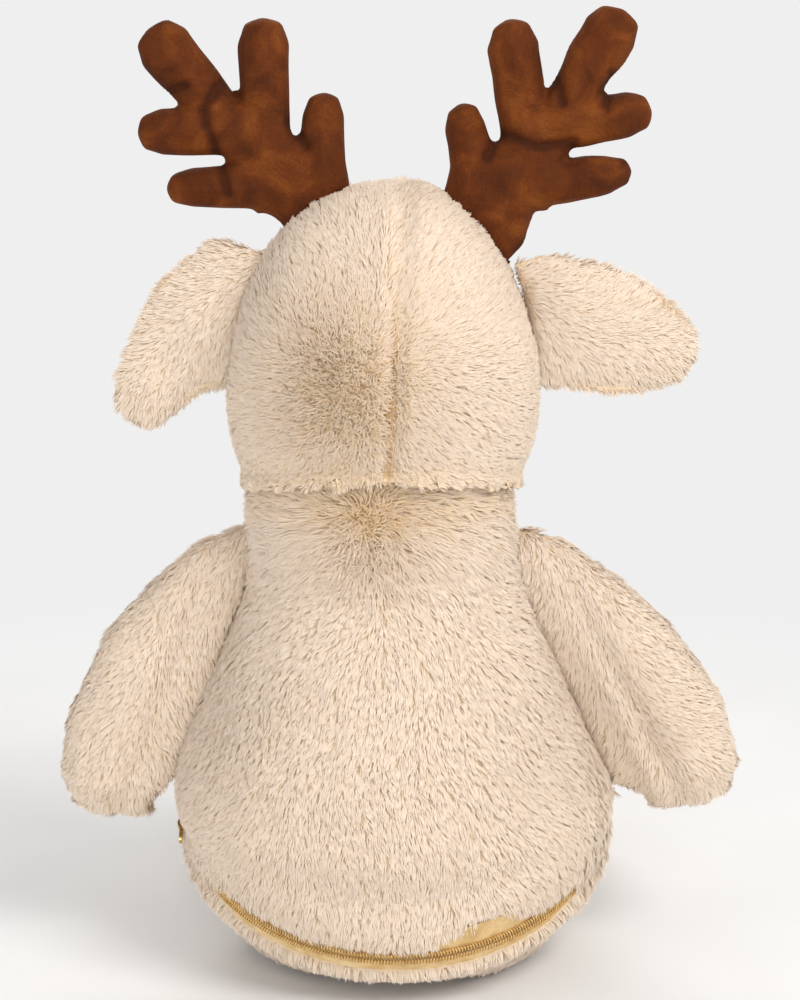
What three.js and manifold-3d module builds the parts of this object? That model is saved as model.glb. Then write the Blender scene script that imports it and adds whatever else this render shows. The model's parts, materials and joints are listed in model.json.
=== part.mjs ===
// A seated plush deer, seen whole: a fur cover with a zip round the lower back, pods of stuffing
// inside it, a nodding head with soft antlers and ears, two arms and two legs.
// Millimetres, +Z up, the toy faces -Y and its left side is +X. The origin is on the floor,
// at the centre of the flat seat.

import * as THREE from "three";
import { mergeVertices } from "three/addons/utils/BufferGeometryUtils.js";
import Module from "manifold-3d";

const wasm = await Module();
wasm.setup();

// Clearances and cuts that every piece shares
const seamGap = 0.4; // between two panels that are sewn edge to edge
const fitGap = 0.4; // between a cover and the stuffing in it
const rootGap = 0.7; // between a limb's root and the form that it is sewn to
const overrun = 40; // how far a cutting shape runs past what it cuts
const knifeSpan = 900; // side of a box that keeps one side of a seam
const ledge = 0.2; // smallest radius that a tapering ring keeps

// Torso
const torsoHalfWidth = 119;
const torsoHeight = 300; // of the lathe, before the neck ball rounds its top
const torsoDepthShare = 0.88;
const torsoLean = 7; // how far the neck stands to the toy's left of the seat's centre
const torsoSides = 28;
const torsoRadiusShares = [0.6, 0.67, 0.8, 0.905, 0.96, 1, 0.93, 0.81, 0.69, 0.63, 0.595, 0.585, 0.55];
const torsoHeightShares = [0, 0.01, 0.08, 0.15, 0.2, 0.265, 0.355, 0.455, 0.577, 0.64, 0.7, 0.79, 0.96];
const coverThickness = 8; // backing and pile of the long fur
const sideSeamDepth = 18; // the side seams lie this far in front of the middle

// Neck: the torso ends in a ball that the head sits over and nods on
const neckHeight = 215;
const neckRadius = 75;
const neckGap = 0.9;
const neckSides = 24;
const neckRings = 16;

// Head
const headHalfWidth = 81.5;
const headDepth = 72; // half of the head, front to back
const headCentreHeight = 75; // above the neck's centre
const headUp = 110;
const headDown = 104;
const headSides = 24;
const headRings = 14;
const headShift = 3; // of the head towards the toy's left, along the hinge it nods on
const headRoll = 2.75; // degrees, towards the toy's right
const headTurns = [-8, 0, 8, 15]; // degrees of nod, from back to forward
const faceSeamDepth = 20; // the face panel's seam lies this far in front of the middle

// Muzzle, nose and eyes, in the head's frame
const muzzleHalfWidth = 39;
const muzzleHalfHeight = 29;
const muzzleDepth = 40;
const muzzleHeight = 58;
const muzzleSetback = 60; // of its centre, in front of the head's middle
const noseHalfWidth = 14;
const noseHalfHeight = 9.5;
const noseDepth = 9;
const noseRise = 13; // of the nose above the muzzle's centre
const muzzleSides = 16;
const muzzleRings = 10;
const noseSides = 12;
const noseRings = 8;
const eyeRadius = 8;
const eyeDome = 5.5;
const eyeRadiusShares = [0.92, 0.6]; // of two rings on the dome
const eyeRiseShares = [0.45, 0.85];
const eyeSpacing = 33;
const eyeHeight = 90;
const eyeSunk = 3; // the eye's rim lies this far under the fur's tips
const stemRadius = 2;
const stemLength = 15;
const washerRadius = 9.5;
const washerThickness = 1.6;
const washerDepth = 10.5; // from the eye's rim to the washer's near face
const stemGap = 0.25;
const eyeSides = 14;

// Ears
const earReaches = { left: 30, right: 73 }; // how far each tip stands out from its root
const earDrops = { left: 80, right: 45 }; // how far each tip hangs under its root
const earBends = { left: 2.2, right: 1 }; // power of the curve that each ear droops along
const earRootDepth = 9; // each ear starts this deep in the head, which cuts it
const earSpineShares = [0.2, 0.4, 0.6, 0.8, 1];
const earStationShares = [0.03, 0.16, 0.34, 0.58, 0.8, 0.945];
const earHalfWidths = { left: [33, 33, 29.5, 24.5, 20, 13.5], right: [33, 34.5, 34, 31.5, 24, 14] };
const earHalfDepths = [8, 9, 9, 8.5, 7.5, 5.5];
const earSides = 14;
const earRootHeight = 118;
const earRootOut = 71.5;
const earRootLean = 19; // degrees, the top of the root leans in over the head
const earTurns = [-25, 0, 25];

// Antlers: a palm and five tines, each a flat stuffed lobe
const antlerHalfDepth = 11.5;
const antlerFabric = 2.4;
const antlerSides = 8;
const antlerFillSides = 6; // of the stuffing and of the hollow that holds it
const antlerBaseOuts = { left: 37, right: 47 };
const antlerBaseHeight = 166;
const antlerLeans = { left: -4.5, right: 11 }; // degrees that each leans in
const antlerTurns = [-18, 0, 18];
const antlerReach = 85; // height of the tallest tine above the base
const lobeStationShares = [0.14, 0.82, 0.95]; // rings along each lobe
const lobeEndShare = 0.72; // of the last ring, where the lobe rounds off
const lobeShares = [
  { from: [-0.03, -0.2], to: [0.2, 0.38], root: 0.21, tip: 0.23 },
  { from: [0.24, 0.2], to: [0.5, 0.56], root: 0.24, tip: 0.17 },
  { from: [-0.03, 0.05], to: [-0.07, 0.64], root: 0.16, tip: 0.13 },
  { from: [0.265, 0.35], to: [0.265, 1.07], root: 0.15, tip: 0.16 },
  { from: [0.47, 0.47], to: [0.92, 1.03], root: 0.13, tip: 0.175 },
  { from: [0.36, 0.435], to: [1.01, 0.43], root: 0.15, tip: 0.14 },
  { from: [0.14, 0.11], to: [0.86, 0.115], root: 0.15, tip: 0.12 },
];

// Arms
const armLength = 170;
const armStationShares = [0.03, 0.12, 0.28, 0.48, 0.7, 0.86, 0.96];
const armHalfWidths = [12, 17, 24.5, 30.5, 34.5, 32.5, 23.5];
const armHalfDepths = [11, 15, 19, 22, 23.5, 21, 13];
const armOutShares = [-0.05, 0.06, 0.14, 0.22, 0.31, 0.36, 0.385];
const armDownShares = [0.06, 0.2, 0.31, 0.43, 0.61, 0.79, 1.01];
const armSides = 14;
const armCover = 6;
const armShoulderHeights = { left: 236, right: 232 };
const armShoulderOut = 73;
const armSpreads = { left: 0, right: 7 }; // degrees away from the flank
const armTurns = [0, 20, 40, 60];

// Legs
const legLength = 128;
const legStationShares = [0.06, 0.25, 0.5, 0.72, 0.88, 0.96, 0.995];
const legHalfWidths = [26, 28, 28.5, 31, 34.5, 33.5, 26];
const legHalfDepths = [27, 29, 30, 33, 38, 37, 28];
const legSides = 16;
const legCover = 6;
const legHipOut = 50;
const legHipFront = 46;
const legHipHeight = 67; // of the hinge at the top of the hip seam
const legRise = 33; // height of the leg's middle line above the floor at the hip
const footRise = 37.5; // and at the foot
const legSplay = 15; // degrees
const legTurns = [0, 15, 30];
const soleThickness = 4;
const soleShare = 0.86; // of the leg's end that the sole pad covers

// Zip: a round track in a plane that tilts up towards the front
const zipRadius = 108;
const zipTilt = 26; // degrees
const zipLowY = 91; // the track's lowest point, at the middle of the back
const zipLowZ = 27.5;
const zipEnd = 92; // degrees from the middle of the back to each end of the opening
const zipSlotHalf = 6.5; // half the width of the gap between the two hems
const tapeWidth = 14;
const tapeThickness = 0.8;
const tapeSteps = 36;
const slotSteps = 18;
const slotGap = 0.8; // round the tapes, in the hems and in the body pod
const tapeSplit = 0.8; // half the slot between the tapes, where the slider's neck runs
const coilPitch = 5.5;
const coilHeight = 1.8;
const coilTooth = 3.1; // from the slot out to a tooth's root
const coilRoot = 1.7; // depth of a notch between two teeth
const coilEnd = 85.3; // degrees
const stopAt = 87;
const stopTurn = 1.6; // degrees that a stop takes up
const stopWidth = 3;
const baseFrontHeight = 34; // of the base panel's seam in front

// Slider and pull tab
const sliderAt = 81.5; // degrees: parked at the closed end
const sliderLength = 12;
const sliderMouth = 9.4;
const sliderRear = 7.4;
const plateThickness = 1.2;
const plateGap = 0.4; // between a plate and what it runs over
const neckThickness = 1;
const neckLength = 2.6;
const cornerRound = 2;
const cornerArcSteps = 4;
const bailSpan = 7.6;
const bailRise = 3.6;
const bailWidth = 2.2;
const bailThickness = 1.1;
const bailCurveShare = 1.33; // of the rise, where the curve's handles stand
const bailArcSteps = 7;
const pullLength = 12.5;
const pullWidth = 6.4;
const pullThickness = 1.3;
const pullBar = 1.3;
const pullEndShare = 0.8; // of its width, where the tongue's end starts to round
const pullSlotLength = 5;
const pullSlotWidth = 3.2;
const pullHang = 8; // degrees that the tab stands off the track where it hangs

const up = new THREE.Vector3(0, 0, 1);
const back = new THREE.Vector3(0, 1, 0);
const radians = THREE.MathUtils.degToRad;

// A closed mesh as a solid that can be cut and joined
function solid(geometry) {
  const bare = new THREE.BufferGeometry();
  bare.setAttribute("position", geometry.getAttribute("position"));
  if (geometry.index) bare.setIndex(geometry.index);
  const merged = mergeVertices(bare);
  const corners = [];
  for (let first = 0; first < merged.index.count; first += 3) {
    const [a, b, c] = [0, 1, 2].map((step) => merged.index.getX(first + step));
    if (a !== b && b !== c && c !== a) corners.push(a, b, c);
  }
  const vertProperties = merged.attributes.position.array;
  const made = () => new wasm.Manifold(
    new wasm.Mesh({ numProp: 3, vertProperties, triVerts: new Uint32Array(corners) }),
  );
  if (made().volume() < 0) corners.reverse();
  return made();
}

// A solid's surface as a three.js geometry
function surface(body) {
  const { vertProperties, triVerts } = body.getMesh();
  const geometry = new THREE.BufferGeometry();
  geometry.setAttribute("position", new THREE.BufferAttribute(new Float32Array(vertProperties), 3));
  geometry.setIndex(new THREE.BufferAttribute(new Uint32Array(triVerts), 1));
  return geometry;
}

// The largest separate body of a solid: a cut can leave crumbs at a thin edge
function mainBody(body) {
  return body.decompose().reduce((a, b) => (a.volume() > b.volume() ? a : b));
}

function cloth(color, roughness) {
  return new THREE.MeshStandardMaterial({ color, roughness, metalness: 0 });
}

const materials = {
  fur: cloth("#e6d3bd", 0.95),
  shortFur: cloth("#f1e6d6", 0.95),
  lining: cloth("#dcc3a6", 0.9),
  antler: cloth("#6f3719", 0.85),
  stuffing: cloth("#f4f2ee", 1),
  tape: cloth("#e1c59c", 0.6),
  coil: cloth("#be965a", 0.4),
  metal: new THREE.MeshStandardMaterial({ color: "#c9a24f", roughness: 0.3, metalness: 1 }),
  eye: new THREE.MeshStandardMaterial({ color: "#120d0a", roughness: 0.1, metalness: 0 }),
  washer: new THREE.MeshStandardMaterial({ color: "#ece9e2", roughness: 0.5, metalness: 0 }),
  nose: cloth("#4a2515", 0.7),
};

function piece(name, body, material) {
  const geometry = surface(mainBody(body));
  geometry.computeVertexNormals();
  const mesh = new THREE.Mesh(geometry, material);
  mesh.name = name;
  return mesh;
}

// Everything on the side of a plane that `facing` points to, half a seam gap away from it
function sideOf(point, facing) {
  const box = new THREE.BoxGeometry(knifeSpan, knifeSpan, knifeSpan);
  box.translate(0, 0, (knifeSpan + seamGap) / 2);
  box.applyQuaternion(new THREE.Quaternion().setFromUnitVectors(up, facing.clone().normalize()));
  return solid(box.translate(point.x, point.y, point.z));
}

// A closed skin over rings of points, with a tip at each end
function loft(rings, startTip, endTip) {
  const sides = rings[0].length;
  const points = [startTip, ...rings.flat(), endTip];
  const last = points.length - 1;
  const at = (ring, side) => 1 + ring * sides + (side % sides);
  const faces = [];
  for (let side = 0; side < sides; side += 1) {
    faces.push(0, at(0, side + 1), at(0, side));
    faces.push(last, at(rings.length - 1, side), at(rings.length - 1, side + 1));
    for (let ring = 0; ring + 1 < rings.length; ring += 1) {
      faces.push(at(ring, side), at(ring, side + 1), at(ring + 1, side + 1));
      faces.push(at(ring, side), at(ring + 1, side + 1), at(ring + 1, side));
    }
  }
  const geometry = new THREE.BufferGeometry().setFromPoints(points);
  return geometry.setIndex(faces);
}

// A stuffed limb or ear: elliptical rings along a spine that bends in the plane square to `flat`
function stuffedForm({ spine, flat, stationShares, halfWidths, halfDepths, sides }, inset) {
  const trim = inset / spine.getLength();
  const placeOf = (share) => trim + share * (1 - 2 * trim);
  const rings = stationShares.map((share, index) => {
    const centre = spine.getPointAt(placeOf(share));
    const across = new THREE.Vector3().crossVectors(spine.getTangentAt(placeOf(share)), flat);
    const wide = Math.max(halfWidths[index] - inset, ledge);
    const deep = Math.max(halfDepths[index] - inset, ledge);
    return Array.from({ length: sides }, (_, side) => {
      const turn = (2 * Math.PI * side) / sides;
      const point = centre.clone().addScaledVector(across, wide * Math.cos(turn));
      return point.addScaledVector(flat, deep * Math.sin(turn));
    });
  });
  return loft(rings, spine.getPointAt(placeOf(0)), spine.getPointAt(placeOf(1)));
}

// A turned form that is narrower front to back
function roundForm(profile, sides, depthShare) {
  return new THREE.LatheGeometry(profile, sides).rotateX(Math.PI / 2).scale(1, depthShare, 1);
}

// A profile moved towards its own inside
function insetProfile(profile, inset) {
  return profile.map((point, index) => {
    const before = profile[Math.max(index - 1, 0)];
    const after = profile[Math.min(index + 1, profile.length - 1)];
    const along = after.clone().sub(before).normalize();
    const moved = point.clone().add(new THREE.Vector2(-along.y, along.x).multiplyScalar(inset));
    moved.x = point.x === 0 ? 0 : Math.max(moved.x, ledge);
    return moved;
  });
}

// What is left of a hinged piece once its neighbour has swept past it at every turn.
// The hinge passes through the origin of `frame`, along `hinge` in that frame.
function clearOf(body, neighbour, frame, hinge, turns) {
  return turns.reduce((rest, turn) => {
    const turned = new THREE.Matrix4().makeRotationAxis(hinge, radians(turn));
    const seen = frame.clone().multiply(turned).invert();
    return rest.subtract(solid(neighbour.clone().applyMatrix4(seen)));
  }, body);
}

// A group put in its place, with its matrix ready for cuts made in its frame
function placed(group, position, rotation) {
  group.position.copy(position);
  group.rotation.copy(rotation);
  group.updateMatrix();
  return group;
}

const deer = new THREE.Group();

// Torso shapes

function torsoProfile() {
  const rim = torsoRadiusShares.map((share, index) => new THREE.Vector2(
    share * torsoHalfWidth,
    torsoHeightShares[index] * torsoHeight,
  ));
  return [new THREE.Vector2(0, 0), ...rim, new THREE.Vector2(0, torsoHeight)];
}

function leaned(geometry) {
  const slope = torsoLean / neckHeight;
  return geometry.applyMatrix4(new THREE.Matrix4().makeShear(0, 0, 0, 0, slope, 0));
}

function neckBall(grow) {
  const ball = new THREE.SphereGeometry(neckRadius + grow, neckSides, neckRings);
  ball.rotateZ(Math.PI / 2).rotateY(-radians(headRoll));
  return ball.translate(torsoLean, 0, neckHeight);
}

// The torso's outer form, or the one that lies `inset` under it, rounded at the neck
function torsoForm(inset, sides = torsoSides) {
  const form = solid(leaned(roundForm(insetProfile(torsoProfile(), inset), sides, torsoDepthShare)));
  const above = new THREE.BoxGeometry(knifeSpan, knifeSpan, knifeSpan);
  above.translate(0, 0, knifeSpan / 2 + neckHeight);
  return form.subtract(solid(above).subtract(solid(neckBall(0))));
}

const torsoNeighbour = surface(torsoForm(-rootGap));
const torsoOuter = torsoForm(0);
const torsoHollow = torsoForm(coverThickness).add(torsoMouth());

// The cover is open at the neck, all the way up through the ball's crown
function torsoMouth() {
  const wall = insetProfile(torsoProfile(), coverThickness);
  const top = wall.slice(-3, -1); // the wall's two highest rings, without its tip
  const mouth = [
    new THREE.Vector2(0, top[0].y),
    ...top,
    new THREE.Vector2(top[1].x, torsoHeight + overrun),
    new THREE.Vector2(0, torsoHeight + overrun),
  ];
  return solid(leaned(roundForm(mouth, torsoSides, torsoDepthShare)));
}

// Zip track: sections are drawn in (radius, across) and swept round the track's centre

const zip = placed(
  new THREE.Group(),
  new THREE.Vector3(
    0,
    zipLowY - zipRadius * Math.cos(radians(zipTilt)),
    zipLowZ + zipRadius * Math.sin(radians(zipTilt)),
  ),
  new THREE.Euler(-radians(zipTilt), 0, 0),
);

function trackPoint(turn, radius, across) {
  return new THREE.Vector3(radius * Math.sin(turn), radius * Math.cos(turn), across);
}

// `sectionAt(step)` gives the section's corners as [radius, across] pairs
function trackSweep(sectionAt, from, to, steps) {
  const rings = Array.from({ length: steps + 1 }, (_, step) => {
    const turn = radians(from + ((to - from) * step) / steps);
    return sectionAt(step).map(([radius, across]) => trackPoint(turn, radius, across));
  });
  const middle = (ring) => ring
    .reduce((sum, point) => sum.add(point), new THREE.Vector3())
    .divideScalar(ring.length);
  return loft(rings, middle(rings[0]), middle(rings.at(-1)));
}

function band(inner, outer, low, high) {
  return () => [[inner, low], [outer, low], [outer, high], [inner, high]];
}

const tapeBottom = zipRadius - coilHeight - tapeThickness;
const tapeTop = tapeBottom + tapeThickness;
const coilTop = tapeTop + coilHeight;
const plateUnder = tapeBottom - plateGap - plateThickness;
const plateOver = coilTop + plateGap;
const tapeEdge = tapeSplit + tapeWidth;

function trackRelief(inner, outer, across) {
  const sweep = trackSweep(band(inner, outer, -across, across), -zipEnd, zipEnd, slotSteps);
  return solid(sweep.applyMatrix4(zip.matrix));
}

const hemSlot = trackRelief(zipRadius - overrun, zipRadius + overrun, zipSlotHalf);
const tapeSlot = trackRelief(tapeBottom - slotGap, tapeTop + slotGap, tapeEdge + slotGap);
const podRelief = trackRelief(plateUnder - plateGap, zipRadius + overrun, zipSlotHalf)
  .add(trackRelief(tapeBottom - slotGap, zipRadius + overrun, tapeEdge + slotGap));

// The base panel's seam in side view: the zip's plane behind, then down to the front
function baseKnife(raise) {
  const slope = Math.tan(radians(zipTilt));
  const reach = torsoHalfWidth + overrun;
  const zipLine = (y) => zipLowZ + (zipLowY - y) * slope + raise;
  const shape = new THREE.Shape();
  shape.moveTo(reach, -overrun);
  shape.lineTo(reach, zipLine(reach));
  shape.lineTo(0, zipLine(0));
  shape.lineTo(-sideSeamDepth, zipLine(0));
  shape.lineTo(-zipLowY, baseFrontHeight + raise);
  shape.lineTo(-reach, baseFrontHeight + raise);
  shape.lineTo(-reach, -overrun);
  const knife = new THREE.ExtrudeGeometry(shape, { depth: 2 * reach, bevelEnabled: false });
  knife.translate(0, 0, -reach).rotateY(Math.PI / 2).rotateX(Math.PI / 2);
  return solid(knife);
}

function addTorso() {
  const cover = torsoOuter.subtract(torsoHollow).subtract(hemSlot).subtract(tapeSlot);
  const upper = cover.subtract(baseKnife(seamGap));
  const sideSeam = new THREE.Vector3(0, -sideSeamDepth, 0);
  const behind = upper.intersect(sideOf(sideSeam, back));
  const centre = new THREE.Vector3(0, 0, 0);
  const leftward = new THREE.Vector3(neckHeight, 0, -torsoLean);
  const pod = torsoForm(coverThickness + fitGap, torsoSides / 2).subtract(podRelief);
  deer.add(
    piece("torso_back_left", behind.intersect(sideOf(centre, leftward)), materials.fur),
    piece("torso_back_right", behind.intersect(sideOf(centre, leftward.negate())), materials.fur),
    piece("tummy_panel", upper.intersect(sideOf(sideSeam, back.clone().negate())), materials.shortFur),
    piece("base_panel", cover.intersect(baseKnife(0)), materials.fur),
    piece("body_pod", pod, materials.stuffing),
  );
}

addTorso();

// Zip pieces, in the track's frame

function onTrack(name, sectionAt, from, to, steps, material) {
  return piece(name, solid(trackSweep(sectionAt, from, to, steps)), material);
}

// A row of coil: a strip whose inner edge runs in and out at each tooth, half a pitch apart
// on the two rows, so that the teeth of one face the notches of the other
function coilSection(side, offset) {
  return (step) => {
    const notch = (step + offset) % 2 === 0 ? coilRoot : 0;
    const inner = side * (tapeSplit + notch);
    const outer = side * (tapeSplit + coilTooth);
    const crown = coilTop - notch / 2;
    const foot = tapeTop + seamGap / 2;
    return [[foot, inner], [crown, inner], [coilTop, outer], [foot, outer]];
  };
}

function addZip() {
  const rowSteps = 2 * Math.round((zipRadius * radians(2 * coilEnd)) / coilPitch);
  const sides = { upper: 1, lower: -1 };
  Object.entries(sides).forEach(([name, side], offset) => {
    const [low, high] = [side * tapeSplit, side * tapeEdge].sort((a, b) => a - b);
    const tape = band(tapeBottom, tapeTop, low, high);
    const stopEdges = [side * tapeSplit, side * (tapeSplit + stopWidth)].sort((a, b) => a - b);
    const stop = band(tapeTop + seamGap / 2, coilTop, ...stopEdges);
    zip.add(
      onTrack(`zip_tape_${name}`, tape, seamGap - zipEnd, zipEnd - seamGap, tapeSteps, materials.tape),
      onTrack(`zip_coil_${name}`, coilSection(side, offset), -coilEnd, coilEnd, rowSteps, materials.coil),
      onTrack(`zip_top_stop_${name}`, stop, stopAt, stopAt + stopTurn, 1, materials.metal),
    );
  });
  const across = tapeSplit + stopWidth;
  const endStop = band(tapeTop + seamGap / 2, coilTop, -across, across);
  zip.add(onTrack("zip_end_stop", endStop, -stopAt - stopTurn, -stopAt, 1, materials.metal));
  deer.add(zip);
}

// A flat outline drawn in (along the track, across it), as thick as the gap from `low` to `high`
function plate(shape, low, high) {
  const options = { depth: high - low, bevelEnabled: false, curveSegments: cornerArcSteps };
  return solid(new THREE.ExtrudeGeometry(shape, options).rotateX(Math.PI / 2).translate(0, high, 0));
}

function sliderOutline() {
  const [front, rear] = [sliderLength / 2, -sliderLength / 2];
  const [mouth, tail] = [sliderMouth / 2, sliderRear / 2];
  const shape = new THREE.Shape();
  shape.moveTo(rear + cornerRound, -tail);
  shape.lineTo(front - cornerRound, -mouth);
  shape.quadraticCurveTo(front, -mouth, front, cornerRound - mouth);
  shape.lineTo(front, mouth - cornerRound);
  shape.quadraticCurveTo(front, mouth, front - cornerRound, mouth);
  shape.lineTo(rear + cornerRound, tail);
  shape.quadraticCurveTo(rear, tail, rear, tail - cornerRound);
  shape.lineTo(rear, cornerRound - tail);
  shape.quadraticCurveTo(rear, -tail, rear + cornerRound, -tail);
  return shape;
}

// The bridge on the slider's top plate that holds the pull tab
function bail(seat) {
  const half = bailSpan / 2;
  const shape = new THREE.Shape();
  shape.moveTo(-half, 0);
  shape.bezierCurveTo(-half, bailRise * bailCurveShare, half, bailRise * bailCurveShare, half, 0);
  shape.lineTo(half - bailThickness, 0);
  const [inside, rise] = [half - bailThickness, (bailRise - bailThickness) * bailCurveShare];
  shape.bezierCurveTo(inside, rise, -inside, rise, -inside, 0);
  shape.lineTo(-half, 0);
  const options = { depth: bailWidth, bevelEnabled: false, curveSegments: bailArcSteps };
  return solid(new THREE.ExtrudeGeometry(shape, options).translate(0, seat, -bailWidth / 2));
}

const pullAxis = plateOver + plateThickness + plateGap + pullBar / 2;

// The tab: a bar under the bail, a slot that clears the bail, and a tongue with rounded corners
function pullOutline() {
  const [bar, width] = [pullBar / 2, pullWidth / 2];
  const end = width * pullEndShare;
  const shape = new THREE.Shape();
  shape.moveTo(-bar, -width);
  shape.lineTo(pullSlotLength, -width);
  shape.lineTo(pullLength - width, -end);
  shape.quadraticCurveTo(pullLength, -end, pullLength, 0);
  shape.quadraticCurveTo(pullLength, end, pullLength - width, end);
  shape.lineTo(pullSlotLength, width);
  shape.lineTo(-bar, width);
  shape.lineTo(-bar, -width);
  const slot = new THREE.Path();
  slot.moveTo(bar, -pullSlotWidth / 2);
  slot.lineTo(bar, pullSlotWidth / 2);
  slot.lineTo(pullSlotLength, pullSlotWidth / 2);
  slot.lineTo(pullSlotLength, -pullSlotWidth / 2);
  shape.holes.push(slot);
  return shape;
}

function addSlider() {
  const turn = radians(sliderAt);
  const slider = new THREE.Group();
  slider.rotation.set(0, 0, -turn);
  const under = plate(sliderOutline(), plateUnder, plateUnder + plateThickness);
  const over = plate(sliderOutline(), plateOver, plateOver + plateThickness);
  const neck = new THREE.BoxGeometry(neckLength, plateOver - plateUnder, neckThickness);
  const neckForward = (sliderLength - neckLength) / 2 - seamGap;
  neck.translate(neckForward, (plateOver + plateUnder + plateThickness) / 2, 0);
  const body = under.add(over).add(solid(neck)).add(bail(plateOver + plateThickness - seamGap));
  slider.add(piece("zip_slider", body, materials.metal));
  const pull = new THREE.Group();
  pull.position.set(0, pullAxis, 0);
  pull.rotation.set(0, 0, Math.PI - radians(pullHang));
  const tab = plate(pullOutline(), -pullThickness / 2, pullThickness / 2);
  pull.add(piece("zip_pull", tab, materials.metal));
  slider.add(pull);
  zip.add(slider);
}

addZip();
addSlider();

// Head, in its own frame: its X axis runs through the neck ball's centre, and it nods on it

const head = placed(
  new THREE.Group(),
  new THREE.Vector3(
    torsoLean + headShift * Math.cos(radians(headRoll)),
    0,
    neckHeight + headShift * Math.sin(radians(headRoll)),
  ),
  new THREE.Euler(0, -radians(headRoll), 0),
);

function headForm(inset, sides = headSides, rings = headRings) {
  const profile = Array.from({ length: rings + 1 }, (_, ring) => {
    const turn = Math.PI * (ring / rings - 0.5);
    const rise = (turn > 0 ? headUp : headDown) - inset;
    const radius = (headHalfWidth - inset) * Math.cos(turn);
    const atPole = ring === 0 || ring === rings;
    return new THREE.Vector2(atPole ? 0 : radius, headCentreHeight + rise * Math.sin(turn));
  });
  return roundForm(profile, sides, (headDepth - inset) / (headHalfWidth - inset));
}

const neckSocket = solid(neckBall(neckGap).applyMatrix4(head.matrix.clone().invert()));
const headOuter = solid(headForm(0)).subtract(neckSocket);

// Where a line at (across, height) meets the front of the head
function headFront(across, height) {
  const rise = (height - headCentreHeight) / headUp;
  return -headDepth * Math.sqrt(1 - rise ** 2 - (across / headHalfWidth) ** 2);
}

// The eye, its stem and its washer are turned about one line, square to the face
function eyeProfile(grow) {
  return [
    new THREE.Vector2(0, -stemLength - grow),
    new THREE.Vector2(stemRadius + grow, -stemLength - grow),
    new THREE.Vector2(stemRadius + grow, -grow),
    new THREE.Vector2(eyeRadius + grow, -grow),
    ...eyeRadiusShares.map((share, index) => new THREE.Vector2(
      eyeRadius * share + grow,
      eyeDome * eyeRiseShares[index],
    )),
    new THREE.Vector2(0, eyeDome + grow),
  ];
}

function washerProfile(grow) {
  const bore = stemRadius + stemGap - grow;
  return [
    new THREE.Vector2(bore, -washerDepth - washerThickness - grow),
    new THREE.Vector2(washerRadius + grow, -washerDepth - washerThickness - grow),
    new THREE.Vector2(washerRadius + grow, -washerDepth + grow),
    new THREE.Vector2(bore, -washerDepth + grow),
    new THREE.Vector2(bore, -washerDepth - washerThickness - grow),
  ];
}

// A turned profile stood on the face, its axis along the face's normal
function onFace(profile, side) {
  const across = side * eyeSpacing;
  const seat = new THREE.Vector3(across, headFront(across, eyeHeight), eyeHeight);
  const normal = new THREE.Vector3(
    seat.x / headHalfWidth ** 2,
    seat.y / headDepth ** 2,
    (seat.z - headCentreHeight) / headUp ** 2,
  ).normalize();
  const turned = new THREE.LatheGeometry(profile, eyeSides);
  turned.applyQuaternion(new THREE.Quaternion().setFromUnitVectors(back, normal));
  const centre = seat.addScaledVector(normal, -eyeSunk);
  return solid(turned.translate(centre.x, centre.y, centre.z));
}

const sidesOfToy = { left: 1, right: -1 };

function muzzleForm(grow) {
  const form = new THREE.SphereGeometry(1, muzzleSides, muzzleRings);
  form.scale(muzzleHalfWidth + grow, muzzleDepth + grow, muzzleHalfHeight + grow);
  return solid(form.translate(0, -muzzleSetback, muzzleHeight));
}

function addFace(panel, pod) {
  Object.entries(sidesOfToy).forEach(([name, side]) => {
    const eye = onFace(eyeProfile(0), side);
    const washer = onFace(washerProfile(0), side);
    head.add(
      piece(`eye_${name}`, eye, materials.eye),
      piece(`eye_washer_${name}`, washer, materials.washer),
    );
    const room = onFace(eyeProfile(stemGap), side);
    const washerRoom = onFace(washerProfile(fitGap), side);
    panel = panel.subtract(room).subtract(washerRoom);
    pod = pod.subtract(room).subtract(washerRoom);
  });
  const nodAxis = new THREE.Vector3(1, 0, 0);
  const muzzle = clearOf(muzzleForm(0), torsoNeighbour, head.matrix, nodAxis, headTurns)
    .subtract(solid(headForm(-fitGap)));
  const noseSeat = -muzzleSetback - muzzleDepth * Math.sqrt(1 - (noseRise / muzzleHalfHeight) ** 2);
  const nose = new THREE.SphereGeometry(1, noseSides, noseRings);
  nose.scale(noseHalfWidth, noseDepth, noseHalfHeight);
  nose.translate(0, noseSeat, muzzleHeight + noseRise);
  head.add(
    piece("face_panel", panel, materials.shortFur),
    piece("muzzle", muzzle, materials.shortFur),
    piece("nose", solid(nose).subtract(muzzleForm(fitGap)), materials.nose),
    piece("head_pod", pod, materials.stuffing),
  );
}

function addHead() {
  const cover = headOuter.subtract(solid(headForm(coverThickness)));
  const seam = new THREE.Vector3(0, -faceSeamDepth, 0);
  const behind = cover.intersect(sideOf(seam, back));
  const centre = new THREE.Vector3(0, 0, 0);
  const leftward = new THREE.Vector3(1, 0, 0);
  head.add(
    piece("head_back_left", behind.intersect(sideOf(centre, leftward)), materials.fur),
    piece("head_back_right", behind.intersect(sideOf(centre, leftward.negate())), materials.fur),
  );
  const pod = solid(headForm(coverThickness + fitGap, headSides / 2, headRings / 2)).subtract(neckSocket);
  addFace(cover.intersect(sideOf(seam, back.clone().negate())), pod);
  deer.add(head);
}

addHead();

// A hinged group on the head: its own Z runs along the hinge
function headMount(side, out, height, lean) {
  return placed(
    new THREE.Group(),
    new THREE.Vector3(side * out, 0, height),
    new THREE.Euler(0, -side * radians(lean), 0),
  );
}

function earSpine(name, side) {
  const points = earSpineShares.map((share) => new THREE.Vector3(
    side * share * earReaches[name],
    0,
    -earDrops[name] * share ** earBends[name],
  ));
  return new THREE.CatmullRomCurve3([new THREE.Vector3(-side * earRootDepth, 0, 0), ...points]);
}

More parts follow.
